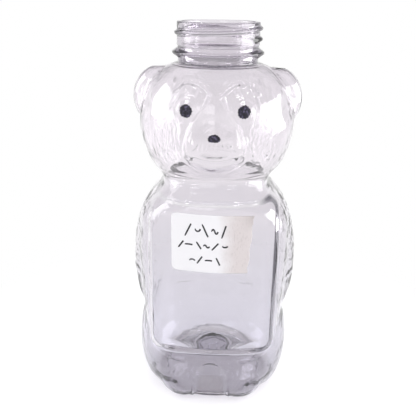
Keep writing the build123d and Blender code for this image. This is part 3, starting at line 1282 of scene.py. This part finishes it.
class Mark(Enum):
    """The plain marks that the pen strokes are made of. None of them is a letter or a digit."""

    SLASH = "slash"
    BACKSLASH = "backslash"
    DASH = "dash"
    CUP = "cup"
    CAP = "cap"
    RIPPLE = "ripple"

    def point(self, along: float) -> tuple[float, float]:
        """Gives a point of the mark in a box from -1 to 1.

        Args:
            along: Share of the mark's length.

        Returns:
            Place across and up.
        """
        across = 2 * along - 1
        if self is Mark.SLASH:
            return 0.8 * across, across
        if self is Mark.BACKSLASH:
            return 0.8 * across, -across
        if self is Mark.CUP:
            return across, 0.2 - 0.4 * math.sqrt(max(0.0, 1 - across ** 2))
        if self is Mark.CAP:
            return across, 0.4 * math.sqrt(max(0.0, 1 - across ** 2)) - 0.2
        if self is Mark.RIPPLE:
            return across, 0.35 * math.sin(TURN * along)
        return across, 0.08 * math.sin(math.pi * along)


@dataclass
class PenStrokes:
    """Three rows of plain pen marks on the label. They form no letters."""

    label: PaperLabel
    finish: "PenInk"
    width: float = 0.7
    thickness: float = 0.03
    proud: float = 0.015
    mark_half: float = 1.35
    mark_gap: float = 0.95
    steps: int = 22
    rows: tuple[tuple[float, float, float, tuple[Mark, ...]], ...] = (
        (0.27, 2.8, -10.2, (Mark.SLASH, Mark.CUP, Mark.BACKSLASH, Mark.RIPPLE, Mark.SLASH)),
        (0.53, 1.6, -13.2, (Mark.SLASH, Mark.DASH, Mark.BACKSLASH, Mark.RIPPLE, Mark.SLASH, Mark.CUP)),
        (0.79, 1.7, -8.4, (Mark.CAP, Mark.SLASH, Mark.DASH, Mark.BACKSLASH)),
    )

    def build(self) -> bpy.types.Object:
        """Makes the marks as one piece of flat ink ribbons.

        Returns:
            The object.
        """
        mesh = bmesh.new()
        for down, half, start, marks in self.rows:
            middle = start
            for index, mark in enumerate(marks):
                wide = self.mark_half + 0.3 * math.sin(2.3 * index + start)
                lean, shift = 0.12 * math.sin(1.7 * index + half), 0.2 * math.sin(1.3 * index)
                points = []
                for step in range(self.steps + 1):
                    across, up = mark.point(step / self.steps)
                    points.append((middle + wide * across + lean * up, half * up + shift))
                self.ribbon(mesh, down, points)
                middle += 2 * wide + self.mark_gap
        thicken(mesh, self.thickness)
        piece = finish_piece("pen_strokes", mesh, self.finish.material())
        return piece

    def ribbon(self, mesh: bmesh.types.BMesh, down: float, points: list[tuple[float, float]]) -> None:
        """Lays a flat ribbon along a mark.

        Args:
            mesh: Mesh to add to.
            down: Share of the label's height down to the row.
            points: Points across the label and up from the row.
        """
        cells = len(points) - 1
        strip = bmesh.ops.create_grid(mesh, x_segments=cells, y_segments=1, size=0.5)["verts"]
        for vert in strip:
            index = round((vert.co.x + 0.5) * cells)
            side = 1 if vert.co.y > 0 else -1
            before, after = points[max(index - 1, 0)], points[min(index + 1, cells)]
            run = Vector((after[0] - before[0], 0, after[1] - before[1])).normalized()
            taper = 0.45 + 0.55 * math.sin(math.pi * min(index + 1, 6) / 12) * (1 if index < cells else 0.7)
            x = points[index][0] - run.z * side * taper * self.width / 2
            up = points[index][1] + run.x * side * taper * self.width / 2
            proud = self.proud + self.label.lift(x, down)
            y = self.label.panel_depth(x, proud) - self.label.thickness
            vert.co = Vector((x, y, self.label.level(x, down) + up)) * MM


class Nodes:
    """A node tree with short calls to add and link its nodes. Places and bands are in millimetres."""

    def __init__(self, tree: bpy.types.NodeTree) -> None:
        """Keeps the tree."""
        self.tree = tree

    def add(self, kind: str, **values: object) -> bpy.types.Node:
        """Adds a node.

        Args:
            kind: Type name of the node.
            values: Attributes of the node.

        Returns:
            The new node.
        """
        node = self.tree.nodes.new(kind)
        for name, value in values.items():
            setattr(node, name, value)
        return node

    def feed(self, socket: Socket, source: object) -> None:
        """Links a socket to another one, or sets its value.

        Args:
            socket: The input to feed.
            source: An output, or a plain value.
        """
        if isinstance(source, bpy.types.NodeSocket):
            self.tree.links.new(source, socket)
        else:
            socket.default_value = source

    def maths(self, operation: str, *values: object) -> Socket:
        """Adds a Math node.

        Args:
            operation: What the node works out.
            values: Its inputs, in their order.

        Returns:
            The node's result.
        """
        node = self.add("ShaderNodeMath", operation=operation)
        for socket, value in zip(node.inputs, values):
            self.feed(socket, value)
        return node.outputs[0]

    def product(self, first: object, *others: object) -> Socket:
        """Multiplies values with one another.

        Args:
            first: The first factor.
            others: The other factors.

        Returns:
            Their product.
        """
        for other in others:
            first = self.maths("MULTIPLY", first, other)
        return first

    def reach(self, first: Socket, second: Socket) -> Socket:
        """Works out the length of a flat vector.

        Args:
            first: Its one part.
            second: Its other part.

        Returns:
            The length.
        """
        squares = [self.maths("POWER", part, 2.0) for part in (first, second)]
        return self.maths("SQRT", self.maths("ADD", *squares))

    def between(self, value: object, low: float, high: float) -> Socket:
        """Adds a smooth rise.

        Args:
            value: The value to place between the two.
            low: Value where the result is 0.
            high: Value where the result is 1.

        Returns:
            The share from 0 to 1.
        """
        node = self.add("ShaderNodeMapRange", interpolation_type="SMOOTHSTEP")
        for name, source in (("Value", value), ("From Min", low), ("From Max", high)):
            self.feed(node.inputs[name], source)
        return node.outputs["Result"]

    def rises(self, value: Socket, at: float, soft: float) -> Socket:
        """Gives 1 where a length is above a mark in millimetres, and 0 below it."""
        return self.between(value, (at - soft) * MM, (at + soft) * MM)

    def falls(self, value: Socket, at: float, soft: float) -> Socket:
        """Gives 1 where a length is below a mark in millimetres, and 0 above it."""
        return self.between(value, (at + soft) * MM, (at - soft) * MM)

    def blend(self, share: object, first: object, second: object) -> Socket:
        """Mixes two colours.

        Args:
            share: Share of the second colour.
            first: The first colour.
            second: The second colour.

        Returns:
            The mixed colour.
        """
        node = self.add("ShaderNodeMix", data_type="RGBA")
        self.feed(node.inputs["Factor"], share)
        self.feed(node.inputs[6], first)
        self.feed(node.inputs[7], second)
        return node.outputs[2]

    def noise(self, place: Socket, scale: float, detail: float = 2.0) -> Socket:
        """Adds a noise texture.

        Args:
            place: Where it is read.
            scale: Its scale.
            detail: How many finer layers it has.

        Returns:
            The noise's value.
        """
        node = self.add("ShaderNodeTexNoise")
        for name, source in (("Vector", place), ("Scale", scale), ("Detail", detail)):
            self.feed(node.inputs[name], source)
        return node.outputs["Fac"]

    def place(self) -> Socket:
        """Gives the place on the object, in Object coordinates."""
        return self.add("ShaderNodeTexCoord").outputs["Object"]

    def axes(self, place: Socket) -> tuple[Socket, Socket, Socket]:
        """Splits a place into its parts.

        Args:
            place: The place.

        Returns:
            Its X, Y and Z.
        """
        split = self.add("ShaderNodeSeparateXYZ")
        self.feed(split.inputs[0], place)
        return tuple(split.outputs)

    def squeezed(self, place: Socket, share: float) -> Socket:
        """Scales a place along Z, so that a pattern on it gets longer.

        Args:
            place: The place.
            share: Scale along Z.

        Returns:
            The scaled place.
        """
        mapping = self.add("ShaderNodeMapping")
        self.feed(mapping.inputs["Vector"], place)
        mapping.inputs["Scale"].default_value = (1.0, 1.0, share)
        return mapping.outputs[0]

    def bump(self, height: Socket, strength: float, distance: float, invert: bool = False) -> Socket:
        """Adds a bump.

        Args:
            height: The height of the surface.
            strength: How strongly it shows.
            distance: How high it is, in millimetres.
            invert: True where high values are sunk.

        Returns:
            The normal.
        """
        node = self.add("ShaderNodeBump", invert=invert)
        for name, source in (("Strength", strength), ("Distance", distance * MM), ("Height", height)):
            self.feed(node.inputs[name], source)
        return node.outputs[0]

    def light_path(self, name: str) -> Socket:
        """Gives 1 for the rays of one kind."""
        return self.add("ShaderNodeLightPath").outputs[name]

    def shown(self) -> Socket:
        """Gives 1 for the rays that show the background: camera, glossy and transmission rays."""
        seen = self.maths("MAXIMUM", self.light_path("Is Camera Ray"), self.light_path("Is Glossy Ray"))
        return self.maths("MAXIMUM", seen, self.light_path("Is Transmission Ray"))

    def mix(self, share: Socket, first: bpy.types.Node, second: bpy.types.Node) -> Socket:
        """Mixes two shaders.

        Args:
            share: Share of the second shader.
            first: The first shader.
            second: The second shader.

        Returns:
            The mixed shader.
        """
        node = self.add("ShaderNodeMixShader")
        for socket, source in zip(node.inputs, (share, first.outputs[0], second.outputs[0])):
            self.feed(socket, source)
        return node.outputs[0]


def new_material(name: str) -> tuple[bpy.types.Material, Nodes, bpy.types.Node]:
    """Starts a material with one Principled shader.

    Args:
        name: Name of the material.

    Returns:
        The material, its nodes and the shader.
    """
    material = bpy.data.materials.new(name)
    material.use_nodes = True
    return material, Nodes(material.node_tree), material.node_tree.nodes["Principled BSDF"]


@dataclass(frozen=True)
class ClearPlastic:
    """Clear blown plastic: faintly mauve, greyer towards the foot, with a base darkened partly by its thick
    plastic and partly by painted shade, and painted shade and highlight lines at some edges.
    """

    head_colour: Colour = (0.915, 0.89, 0.915, 1)
    foot_colour: Colour = (0.805, 0.80, 0.842, 1)
    chest_colour: Colour = (0.945, 0.922, 0.945, 1)
    # Greys of the base: partly the tint of thick plastic, partly painted shade of the shadowed floor under
    # the bottle.
    base_tint_and_shade: Colour = (0.76, 0.75, 0.765, 1)
    valley_tint_and_shade: Colour = (0.62, 0.61, 0.63, 1)
    # Painted highlight line on the left of the front panel's edge.
    painted_highlight_line: Colour = (1.0, 1.0, 1.0, 1)
    # Painted shade lines at the heel, the boss's rim and the neck's root.
    painted_shade_line: Colour = (0.15, 0.145, 0.165, 1)
    # Painted shade line on the right of the front panel's edge.
    painted_panel_shade_line: Colour = (0.20, 0.195, 0.22, 1)
    shadow_colour: Colour = (0.93, 0.92, 0.94, 1)
    depth_colour: Colour = (0.50, 0.46, 0.55, 1)
    depth_density: float = 130.0
    refraction: float = 1.57
    roughness: float = 0.03
    scuff_roughness: float = 0.05
    scuff_scale: float = 900.0
    cloud_scale: float = 34.0
    wave_scale: float = 130.0
    fur_scale: float = 640.0
    fur_stretch: float = 0.4
    fur_share: float = 0.45
    bump_strength: float = 0.25
    bump_height: float = 0.8
    wave_top: Step = (151.5, 3.5)
    head_level: float = 125.0
    chest_bottom: Step = (94.0, 6.0)
    chest_top: Step = (122.5, 5.5)
    base_level: Step = (14.0, 0.5)
    base_reach: Step = (29.45, 0.35)
    back_place: Step = (7.0, 3.0)
    push_up_reach: Step = (22.15, 0.65)
    boss_reach: Step = (7.1, 0.3)
    rim_inner: Step = (7.3, 0.2)
    rim_outer: Step = (8.1, 0.2)
    rim_share: float = 0.7
    arc_bend: float = 9.0
    arc_level: Step = (5.9, 0.3)
    heel_level: Step = (4.8, 0.4)
    heel_share: float = 0.6
    root_level: float = 152.4
    root_line: Step = (0.3, 0.1)
    root_front: Step = (-8.5, 2.5)
    root_reach: Step = (16.15, 0.15)
    cheek_inner: Step = (14.0, 2.0)
    cheek_outer: Step = (25.0, 3.0)
    cheek_front: Step = (-10.0, 4.0)
    cheek_bottom: Step = (115.0, 3.0)
    cheek_top: Step = (134.5, 2.5)
    panel_half: tuple[float, float] = (26.6, 34.19)
    panel_middle: float = 63.99
    panel_corner: float = 4.0
    panel_edge_line: Step = (0.675, 0.175)
    panel_front: Step = (-15.0, 3.0)
    panel_turn: Step = (20.75, 2.75)

    def material(self) -> bpy.types.Material:
        """Makes the material.

        Returns:
            The material.
        """
        material, nodes, shader = new_material("clear_plastic")
        place = nodes.place()
        axes = nodes.axes(place)
        height = axes[2]
        rise = nodes.between(height, 0.0, self.head_level * MM)
        cloud = nodes.between(nodes.noise(place, self.cloud_scale), -0.4, 0.5)
        colour = nodes.blend(nodes.product(rise, cloud), self.foot_colour, self.head_colour)
        chest = nodes.product(nodes.rises(height, *self.chest_bottom), nodes.falls(height, *self.chest_top))
        colour = nodes.blend(chest, colour, self.chest_colour)
        colour = self.with_base_tint_and_painted_shade(nodes, colour, axes)
        nodes.feed(shader.inputs["Base Color"], self.with_painted_panel_edge(nodes, colour, axes))
        nodes.feed(shader.inputs["Transmission Weight"], 1.0)
        nodes.feed(shader.inputs["IOR"], self.refraction)
        scuffs = nodes.between(nodes.noise(place, self.scuff_scale, 4.0), 0.58, 0.75)
        rough = nodes.maths("MULTIPLY_ADD", scuffs, self.scuff_roughness, self.roughness)
        nodes.feed(shader.inputs["Roughness"], rough)
        waves = nodes.product(nodes.noise(place, self.wave_scale), nodes.falls(height, *self.wave_top))
        fur = nodes.product(self.fur(nodes, place, axes), self.fur_share)
        relief = nodes.bump(nodes.maths("ADD", waves, fur), self.bump_strength, self.bump_height)
        nodes.feed(shader.inputs["Normal"], relief)
        self.let_lamps_through(nodes, shader)
        return material

    def with_base_tint_and_painted_shade(self, nodes: Nodes, colour: Socket, axes: tuple[Socket, Socket, Socket]) -> Socket:
        """Darkens the base partly as the tint of its thick plastic and partly as painted shade, and paints
        shade lines at its heel, the rim of its boss and the neck's root.

        Args:
            nodes: The material's nodes.
            colour: The colour so far.
            axes: X, Y and Z of the place.

        Returns:
            The new colour.
        """
        x, y, z = axes
        reach = nodes.reach(x, y)
        low = nodes.falls(z, *self.base_level)
        base = nodes.product(nodes.falls(reach, *self.base_reach), low)
        arc = nodes.maths("MULTIPLY_ADD", nodes.maths("POWER", x, 2.0), self.arc_bend, z)
        back = nodes.product(nodes.falls(arc, *self.arc_level), nodes.rises(y, *self.back_place))
        heel = nodes.product(nodes.rises(arc, *self.heel_level), back, self.heel_share)
        # Painted shade, partly plastic tint: the push-up's valley and the back of the heel go grey, like the
        # shadowed floor seen through them.
        valley = nodes.product(nodes.rises(reach, *self.push_up_reach), base)
        colour = nodes.blend(nodes.maths("MAXIMUM", valley, back), colour, self.valley_tint_and_shade)
        # The push-up's dome goes grey the same way, partly tint and partly painted shade.
        dome = nodes.product(base, nodes.rises(reach, *self.boss_reach))
        colour = nodes.blend(dome, colour, self.base_tint_and_shade)
        # Painted shade lines: a dark arc at the back of the heel, a ring round the boss's rim and a line at
        # the neck's root.
        rim = nodes.product(nodes.rises(reach, *self.rim_inner), nodes.falls(reach, *self.rim_outer), low)
        dark = nodes.product(nodes.maths("MAXIMUM", heel, rim), self.rim_share)
        off = nodes.maths("ABSOLUTE", nodes.maths("SUBTRACT", z, self.root_level * MM))
        root = nodes.product(nodes.falls(off, *self.root_line), nodes.falls(y, *self.root_front),
                             nodes.rises(reach, *self.root_reach))
        return nodes.blend(nodes.maths("MAXIMUM", dark, root), colour, self.painted_shade_line)

    def with_painted_panel_edge(self, nodes: Nodes, colour: Socket, axes: tuple[Socket, Socket, Socket]) -> Socket:
        """Paints the front panel's edge: a painted highlight line on the left and a painted shade line on
        the right.

        Args:
            nodes: The material's nodes.
            colour: The colour so far.
            axes: X, Y and Z of the place.

        Returns:
            The new colour.
        """
        x, y, z = axes
        middle = nodes.maths("SUBTRACT", z, self.panel_middle * MM)
        out = []
        for along, half in zip((x, middle), self.panel_half):
            away = nodes.maths("ABSOLUTE", along)
            out.append(nodes.maths("SUBTRACT", away, (half - self.panel_corner) * MM))
        outside = nodes.reach(*(nodes.maths("MAXIMUM", part, 0.0) for part in out))
        inside = nodes.maths("MINIMUM", nodes.maths("MAXIMUM", *out), 0.0)
        off = nodes.maths("SUBTRACT", nodes.maths("ADD", outside, inside), (self.panel_corner + 0.1) * MM)
        line = nodes.falls(nodes.maths("ABSOLUTE", off), *self.panel_edge_line)
        line = nodes.product(line, nodes.falls(y, *self.panel_front))
        # Painted highlight on the left of the edge, painted shade on the right.
        edge = nodes.blend(nodes.rises(x, *self.panel_turn), self.painted_highlight_line, self.painted_panel_shade_line)
        return nodes.blend(line, colour, edge)

    def fur(self, nodes: Nodes, place: Socket, axes: tuple[Socket, Socket, Socket]) -> Socket:
        """Gives the short strands moulded into the cheeks.

        Args:
            nodes: The material's nodes.
            place: The place on the skin.
            axes: X, Y and Z of the place.

        Returns:
            The strands' height.
        """
        x, y, z = axes
        strands = nodes.noise(nodes.squeezed(place, self.fur_stretch), self.fur_scale)
        side = nodes.maths("ABSOLUTE", x)
        cheek = nodes.product(nodes.rises(side, *self.cheek_inner), nodes.falls(side, *self.cheek_outer),
                              nodes.falls(y, *self.cheek_front))
        head = nodes.product(nodes.rises(z, *self.cheek_bottom), nodes.falls(z, *self.cheek_top))
        return nodes.product(nodes.between(strands, 0.35, 0.7), cheek, head)

    def let_lamps_through(self, nodes: Nodes, shader: bpy.types.Node) -> None:
        """Lets the light of lamps pass the clear wall, so that it casts only a faint shadow.

        Args:
            nodes: The material's nodes.
            shader: The plastic's own shader.
        """
        clear = nodes.add("ShaderNodeBsdfTransparent")
        nodes.feed(clear.inputs["Color"], self.shadow_colour)
        depth = nodes.add("ShaderNodeVolumeAbsorption")
        nodes.feed(depth.inputs["Color"], self.depth_colour)
        nodes.feed(depth.inputs["Density"], self.depth_density)
        output = nodes.tree.nodes["Material Output"]
        nodes.feed(output.inputs["Surface"], nodes.mix(nodes.light_path("Is Shadow Ray"), shader, clear))
        nodes.feed(output.inputs["Volume"], depth.outputs[0])


@dataclass(frozen=True)
class PrintedInk:
    """Black printing ink with a purple cast, mottled by its raster."""

    name: str = "printed_ink"
    dark: Colour = (0.007, 0.005, 0.012, 1)
    thin: Colour = (0.11, 0.095, 0.17, 1)
    raster: float = 1300.0
    raster_share: float = 0.2
    wear_scale: float = 820.0
    gloss: float = 0.4
    roughness: float = 0.38

    def material(self) -> bpy.types.Material:
        """Makes the material, once for all the spots.

        Returns:
            The material.
        """
        if self.name in bpy.data.materials:
            return bpy.data.materials[self.name]
        material, nodes, shader = new_material(self.name)
        place = nodes.place()
        cells = nodes.add("ShaderNodeTexVoronoi")
        for name, source in (("Vector", place), ("Scale", self.raster), ("Randomness", 0.35)):
            nodes.feed(cells.inputs[name], source)
        worn = nodes.between(nodes.noise(place, self.wear_scale), 0.54, 0.66)
        dots = nodes.product(nodes.between(cells.outputs["Distance"], 0.46, 0.66), self.raster_share)
        gaps = nodes.maths("MAXIMUM", dots, worn)
        nodes.feed(shader.inputs["Specular IOR Level"], self.gloss)
        nodes.feed(shader.inputs["Base Color"], nodes.blend(gaps, self.dark, self.thin))
        nodes.feed(shader.inputs["Roughness"], nodes.maths("MULTIPLY_ADD", gaps, 0.3, self.roughness))
        nodes.feed(shader.inputs["Normal"], nodes.bump(gaps, 0.5, 0.06, invert=True))
        return material


@dataclass(frozen=True)
class LabelPaper:
    """White paper with fine fibres, stained beige towards its torn side."""

    white: Colour = (0.84, 0.83, 0.86, 1)
    beige: Colour = (0.66, 0.605, 0.61, 1)
    stain: Colour = (0.43, 0.385, 0.385, 1)
    cloud_scale: float = 160.0
    cloud_shift: float = 6.0
    aged_from: Step = (5.75, 4.75)
    corner_across: Step = (14.0, 3.5)
    corner_up: Step = (91.25, 5.25)
    corner_share: float = 0.8
    speck_share: float = 0.35
    fibre_scale: float = 1700.0
    fibre_stretch: float = 0.35
    roughness: float = 0.6

    def material(self) -> bpy.types.Material:
        """Makes the material.

        Returns:
            The material.
        """
        material, nodes, shader = new_material("label_paper")
        place = nodes.place()
        x, _, z = nodes.axes(place)
        cloud = nodes.maths("SUBTRACT", nodes.noise(place, self.cloud_scale, 4.0), 0.5)
        across = nodes.maths("MULTIPLY_ADD", cloud, self.cloud_shift * MM, x)
        aged = nodes.rises(across, *self.aged_from)
        corner = nodes.product(nodes.rises(across, *self.corner_across), nodes.rises(z, *self.corner_up),
                               self.corner_share)
        fibres = nodes.noise(nodes.squeezed(place, self.fibre_stretch), self.fibre_scale, 5.0)
        colour = nodes.blend(aged, self.white, self.beige)
        colour = nodes.blend(corner, colour, self.stain)
        speck = nodes.product(nodes.between(fibres, 0.5, 0.72), aged, self.speck_share)
        nodes.feed(shader.inputs["Base Color"], nodes.blend(speck, colour, self.stain))
        nodes.feed(shader.inputs["Roughness"], nodes.maths("MULTIPLY_ADD", fibres, 0.25, self.roughness))
        nodes.feed(shader.inputs["Normal"], nodes.bump(fibres, 0.35, 0.05))
        return material


@dataclass(frozen=True)
class PenInk:
    """Dark grey pen ink, drier in places."""

    wet: Colour = (0.018, 0.018, 0.022, 1)
    dry: Colour = (0.10, 0.10, 0.11, 1)
    streak_scale: float = 700.0
    roughness: float = 0.45

    def material(self) -> bpy.types.Material:
        """Makes the material.

        Returns:
            The material.
        """
        material, nodes, shader = new_material("pen_ink")
        streaks = nodes.between(nodes.noise(nodes.place(), self.streak_scale, 4.0), 0.45, 0.7)
        nodes.feed(shader.inputs["Base Color"], nodes.blend(streaks, self.wet, self.dry))
        nodes.feed(shader.inputs["Roughness"], nodes.maths("MULTIPLY_ADD", streaks, 0.25, self.roughness))
        return material


@dataclass(frozen=True)
class Window:
    """A soft area lamp that faces the bottle."""

    name: str
    place: tuple[float, float, float]
    size: tuple[float, float]
    radiance: float
    target: tuple[float, float, float] = (0, 0, 85)

    def build(self) -> None:
        """Adds the lamp."""
        data = bpy.data.lights.new(self.name, "AREA")
        data.shape = "RECTANGLE"
        data.size, data.size_y = self.size[0] * MM, self.size[1] * MM
        data.energy = self.radiance * math.pi * data.size * data.size_y
        lamp = bpy.data.objects.new(self.name, data)
        towards = (Vector(self.target) - Vector(self.place)).to_track_quat("-Z", "Y")
        lamp.matrix_world = Matrix.Translation(Vector(self.place) * MM) @ towards.to_matrix().to_4x4()
        bpy.context.scene.collection.objects.link(lamp)


@dataclass
class Studio:
    """A pale floor, soft lamps, a white surround and the camera at the photograph's angle."""

    camera_place: tuple[float, float, float] = (7.51, -249.91, 178.0)
    camera_turn: float = 2.5
    camera_pitch: float = 20.18
    camera_roll: float = 0.8
    focal_pixels: float = 572.0
    image_pixels: float = 416.0
    sensor_width: float = 36.0
    floor_size: float = 40000.0
    floor_drop: float = 0.02
    floor_colour: Colour = (0.92, 0.92, 0.925, 1)
    floor_glow: float = 0.12
    shade_colour: Colour = (0.70, 0.69, 0.70, 1)
    shade_radius: tuple[float, float] = (26.5, 28.5)
    shade_front: float = 1.10
    shade_back: float = 0.78
    shadow_radius: tuple[float, float] = (55.0, 160.0)
    surround_colour: Colour = (1, 1, 1, 1)
    surround_light: float = 0.75
    room_colour: Colour = (0.47, 0.46, 0.48, 1)
    room_rise: tuple[float, float] = (0.10, 0.42)
    pool_light: tuple[float, float] = (0.15, 0.12)
    pool_inner: Step = (105.0, 15.0)
    pool_outer: Step = (380.0, 40.0)
    pool_middle: Step = (0.0, 50.0)
    windows: tuple[Window, ...] = (
        Window("left_window", (-560, 20, 310), (320, 420), 3.0),
        Window("right_window", (560, 15, 150), (510, 420), 3.8),
        Window("front_window", (-160, -640, 420), (300, 300), 1.5),
        Window("ceiling_spot", (-310, -300, 605), (150, 70), 12.0),
        Window("right_spot", (245, -325, 607), (150, 60), 12.0),
        Window("left_strip", (-450, -260, 170), (30, 130), 5.0),
        Window("right_strip", (450, -280, 170), (30, 130), 5.0),
    )

    def set_camera(self) -> None:
        """Places the camera where the photograph was taken from."""
        data = bpy.data.cameras.new("camera")
        data.sensor_width = self.sensor_width
        data.lens = self.sensor_width * self.focal_pixels / self.image_pixels
        data.clip_start = 0.01
        data.clip_end = 50
        camera = bpy.data.objects.new("camera", data)
        camera.matrix_world = (
            Matrix.Translation(Vector(self.camera_place) * MM)
            @ Matrix.Rotation(math.radians(self.camera_turn), 4, "Z")
            @ Matrix.Rotation(math.radians(90 - self.camera_pitch), 4, "X")
            @ Matrix.Rotation(math.radians(self.camera_roll), 4, "Z")
        )
        bpy.context.scene.collection.objects.link(camera)
        bpy.context.scene.camera = camera

    def set_world(self) -> None:
        """Makes the surround: white to the camera, a dim room in reflections, and softer as a light."""
        world = bpy.data.worlds.new("surround")
        world.use_nodes = True
        nodes = Nodes(world.node_tree)
        lamp = world.node_tree.nodes["Background"]
        nodes.feed(lamp.inputs["Color"], self.surround_colour)
        nodes.feed(lamp.inputs["Strength"], self.surround_light)
        seen = nodes.add("ShaderNodeBackground")
        up = nodes.axes(nodes.add("ShaderNodeTexCoord").outputs["Generated"])[2]
        bent = nodes.maths("SUBTRACT", 1.0, nodes.light_path("Is Camera Ray"))
        high = nodes.product(nodes.between(up, *self.room_rise), bent)
        nodes.feed(seen.inputs["Color"], nodes.blend(high, self.surround_colour, self.room_colour))
        nodes.feed(seen.inputs["Strength"], 1.0)
        surface = world.node_tree.nodes["World Output"].inputs["Surface"]
        nodes.feed(surface, nodes.mix(nodes.shown(), lamp, seen))
        bpy.context.scene.world = world

    def set_floor(self) -> None:
        """Makes the pale floor, which keeps the bottle's shadow and turns white further out."""
        mesh = bmesh.new()
        bmesh.ops.create_grid(mesh, x_segments=1, y_segments=1, size=self.floor_size / 2 * MM)
        bmesh.ops.translate(mesh, verts=mesh.verts, vec=(0, 0, -self.floor_drop * MM))
        data = bpy.data.meshes.new("floor")
        mesh.to_mesh(data)
        mesh.free()
        floor = bpy.data.objects.new("floor", data)
        bpy.context.scene.collection.objects.link(floor)
        floor.data.materials.append(self.floor_material())

    def floor_material(self) -> bpy.types.Material:
        """Makes the floor's material.

        Returns:
            The material.
        """
        material, nodes, shader = new_material("floor")
        x, y, _ = nodes.axes(nodes.place())
        front = nodes.product(nodes.maths("MINIMUM", y, 0.0), self.shade_front)
        back = nodes.product(nodes.maths("MAXIMUM", y, 0.0), self.shade_back)
        oval = nodes.reach(x, nodes.maths("SUBTRACT", back, front))
        inner, outer = self.shade_radius
        away = nodes.between(oval, inner * MM, outer * MM)
        colour = nodes.blend(away, self.shade_colour, self.floor_colour)
        for name, source in (
            ("Base Color", colour), ("Roughness", 1.0), ("Specular IOR Level", 0.0),
            ("Emission Color", self.surround_colour),
            ("Emission Strength", nodes.product(nodes.shown(), self.floor_glow)),
        ):
            nodes.feed(shader.inputs[name], source)
        inner, outer = self.shadow_radius
        far = nodes.product(nodes.between(nodes.reach(x, y), inner * MM, outer * MM), nodes.shown())
        pool, light = self.light_pool(nodes, x)
        white = nodes.add("ShaderNodeEmission")
        nodes.feed(white.inputs["Color"], self.surround_colour)
        nodes.feed(white.inputs["Strength"], nodes.maths("ADD", light, 1.0))
        surface = nodes.mix(nodes.maths("MAXIMUM", far, pool), shader, white)
        nodes.feed(nodes.tree.nodes["Material Output"].inputs["Surface"], surface)
        return material

    def light_pool(self, nodes: Nodes, x: Socket) -> tuple[Socket, Socket]:
        """Gives where the windows' light falls on the floor, as glossy rays see it.

        Args:
            nodes: The floor's nodes.
            x: X of the place on the floor.

        Returns:
            The pools' mask and how strongly they shine.
        """
        side = nodes.maths("ABSOLUTE", x)
        pool = nodes.product(nodes.rises(side, *self.pool_inner), nodes.falls(side, *self.pool_outer),
                             nodes.light_path("Is Glossy Ray"))
        left, right = self.pool_light
        light = nodes.maths("MULTIPLY_ADD", nodes.rises(x, *self.pool_middle), right - left, left)
        return pool, nodes.product(pool, light)

    def build(self) -> None:
        """Sets up the whole studio."""
        self.set_camera()
        self.set_world()
        self.set_floor()
        for window in self.windows:
            window.build()
        bpy.context.scene.view_settings.view_transform = "Standard"


def main() -> None:
    """Builds the bottle, its prints, its label and the studio."""
    logging.basicConfig(level=logging.INFO, format="%(message)s")
    body = Body()
    bottle = Bottle(body, Neck(), Base(), ClearPlastic())
    bottle.build()
    ink = PrintedInk()
    for side in Side:
        middle = (side.value * body.face.eye_spacing / 2, body.face.eye_height)
        InkSpot(f"{side.name.lower()}_eye", middle, (2.5, 2.5), bottle, ink).build()
    InkSpot("nose", (0, body.face.nose_height), (2.45, 1.6), bottle, ink, scallops=13, wing=0.35).build()
    label = PaperLabel(body, LabelPaper())
    label.build()
    PenStrokes(label, PenInk()).build()
    Studio().build()


if __name__ == "__main__":
    main()
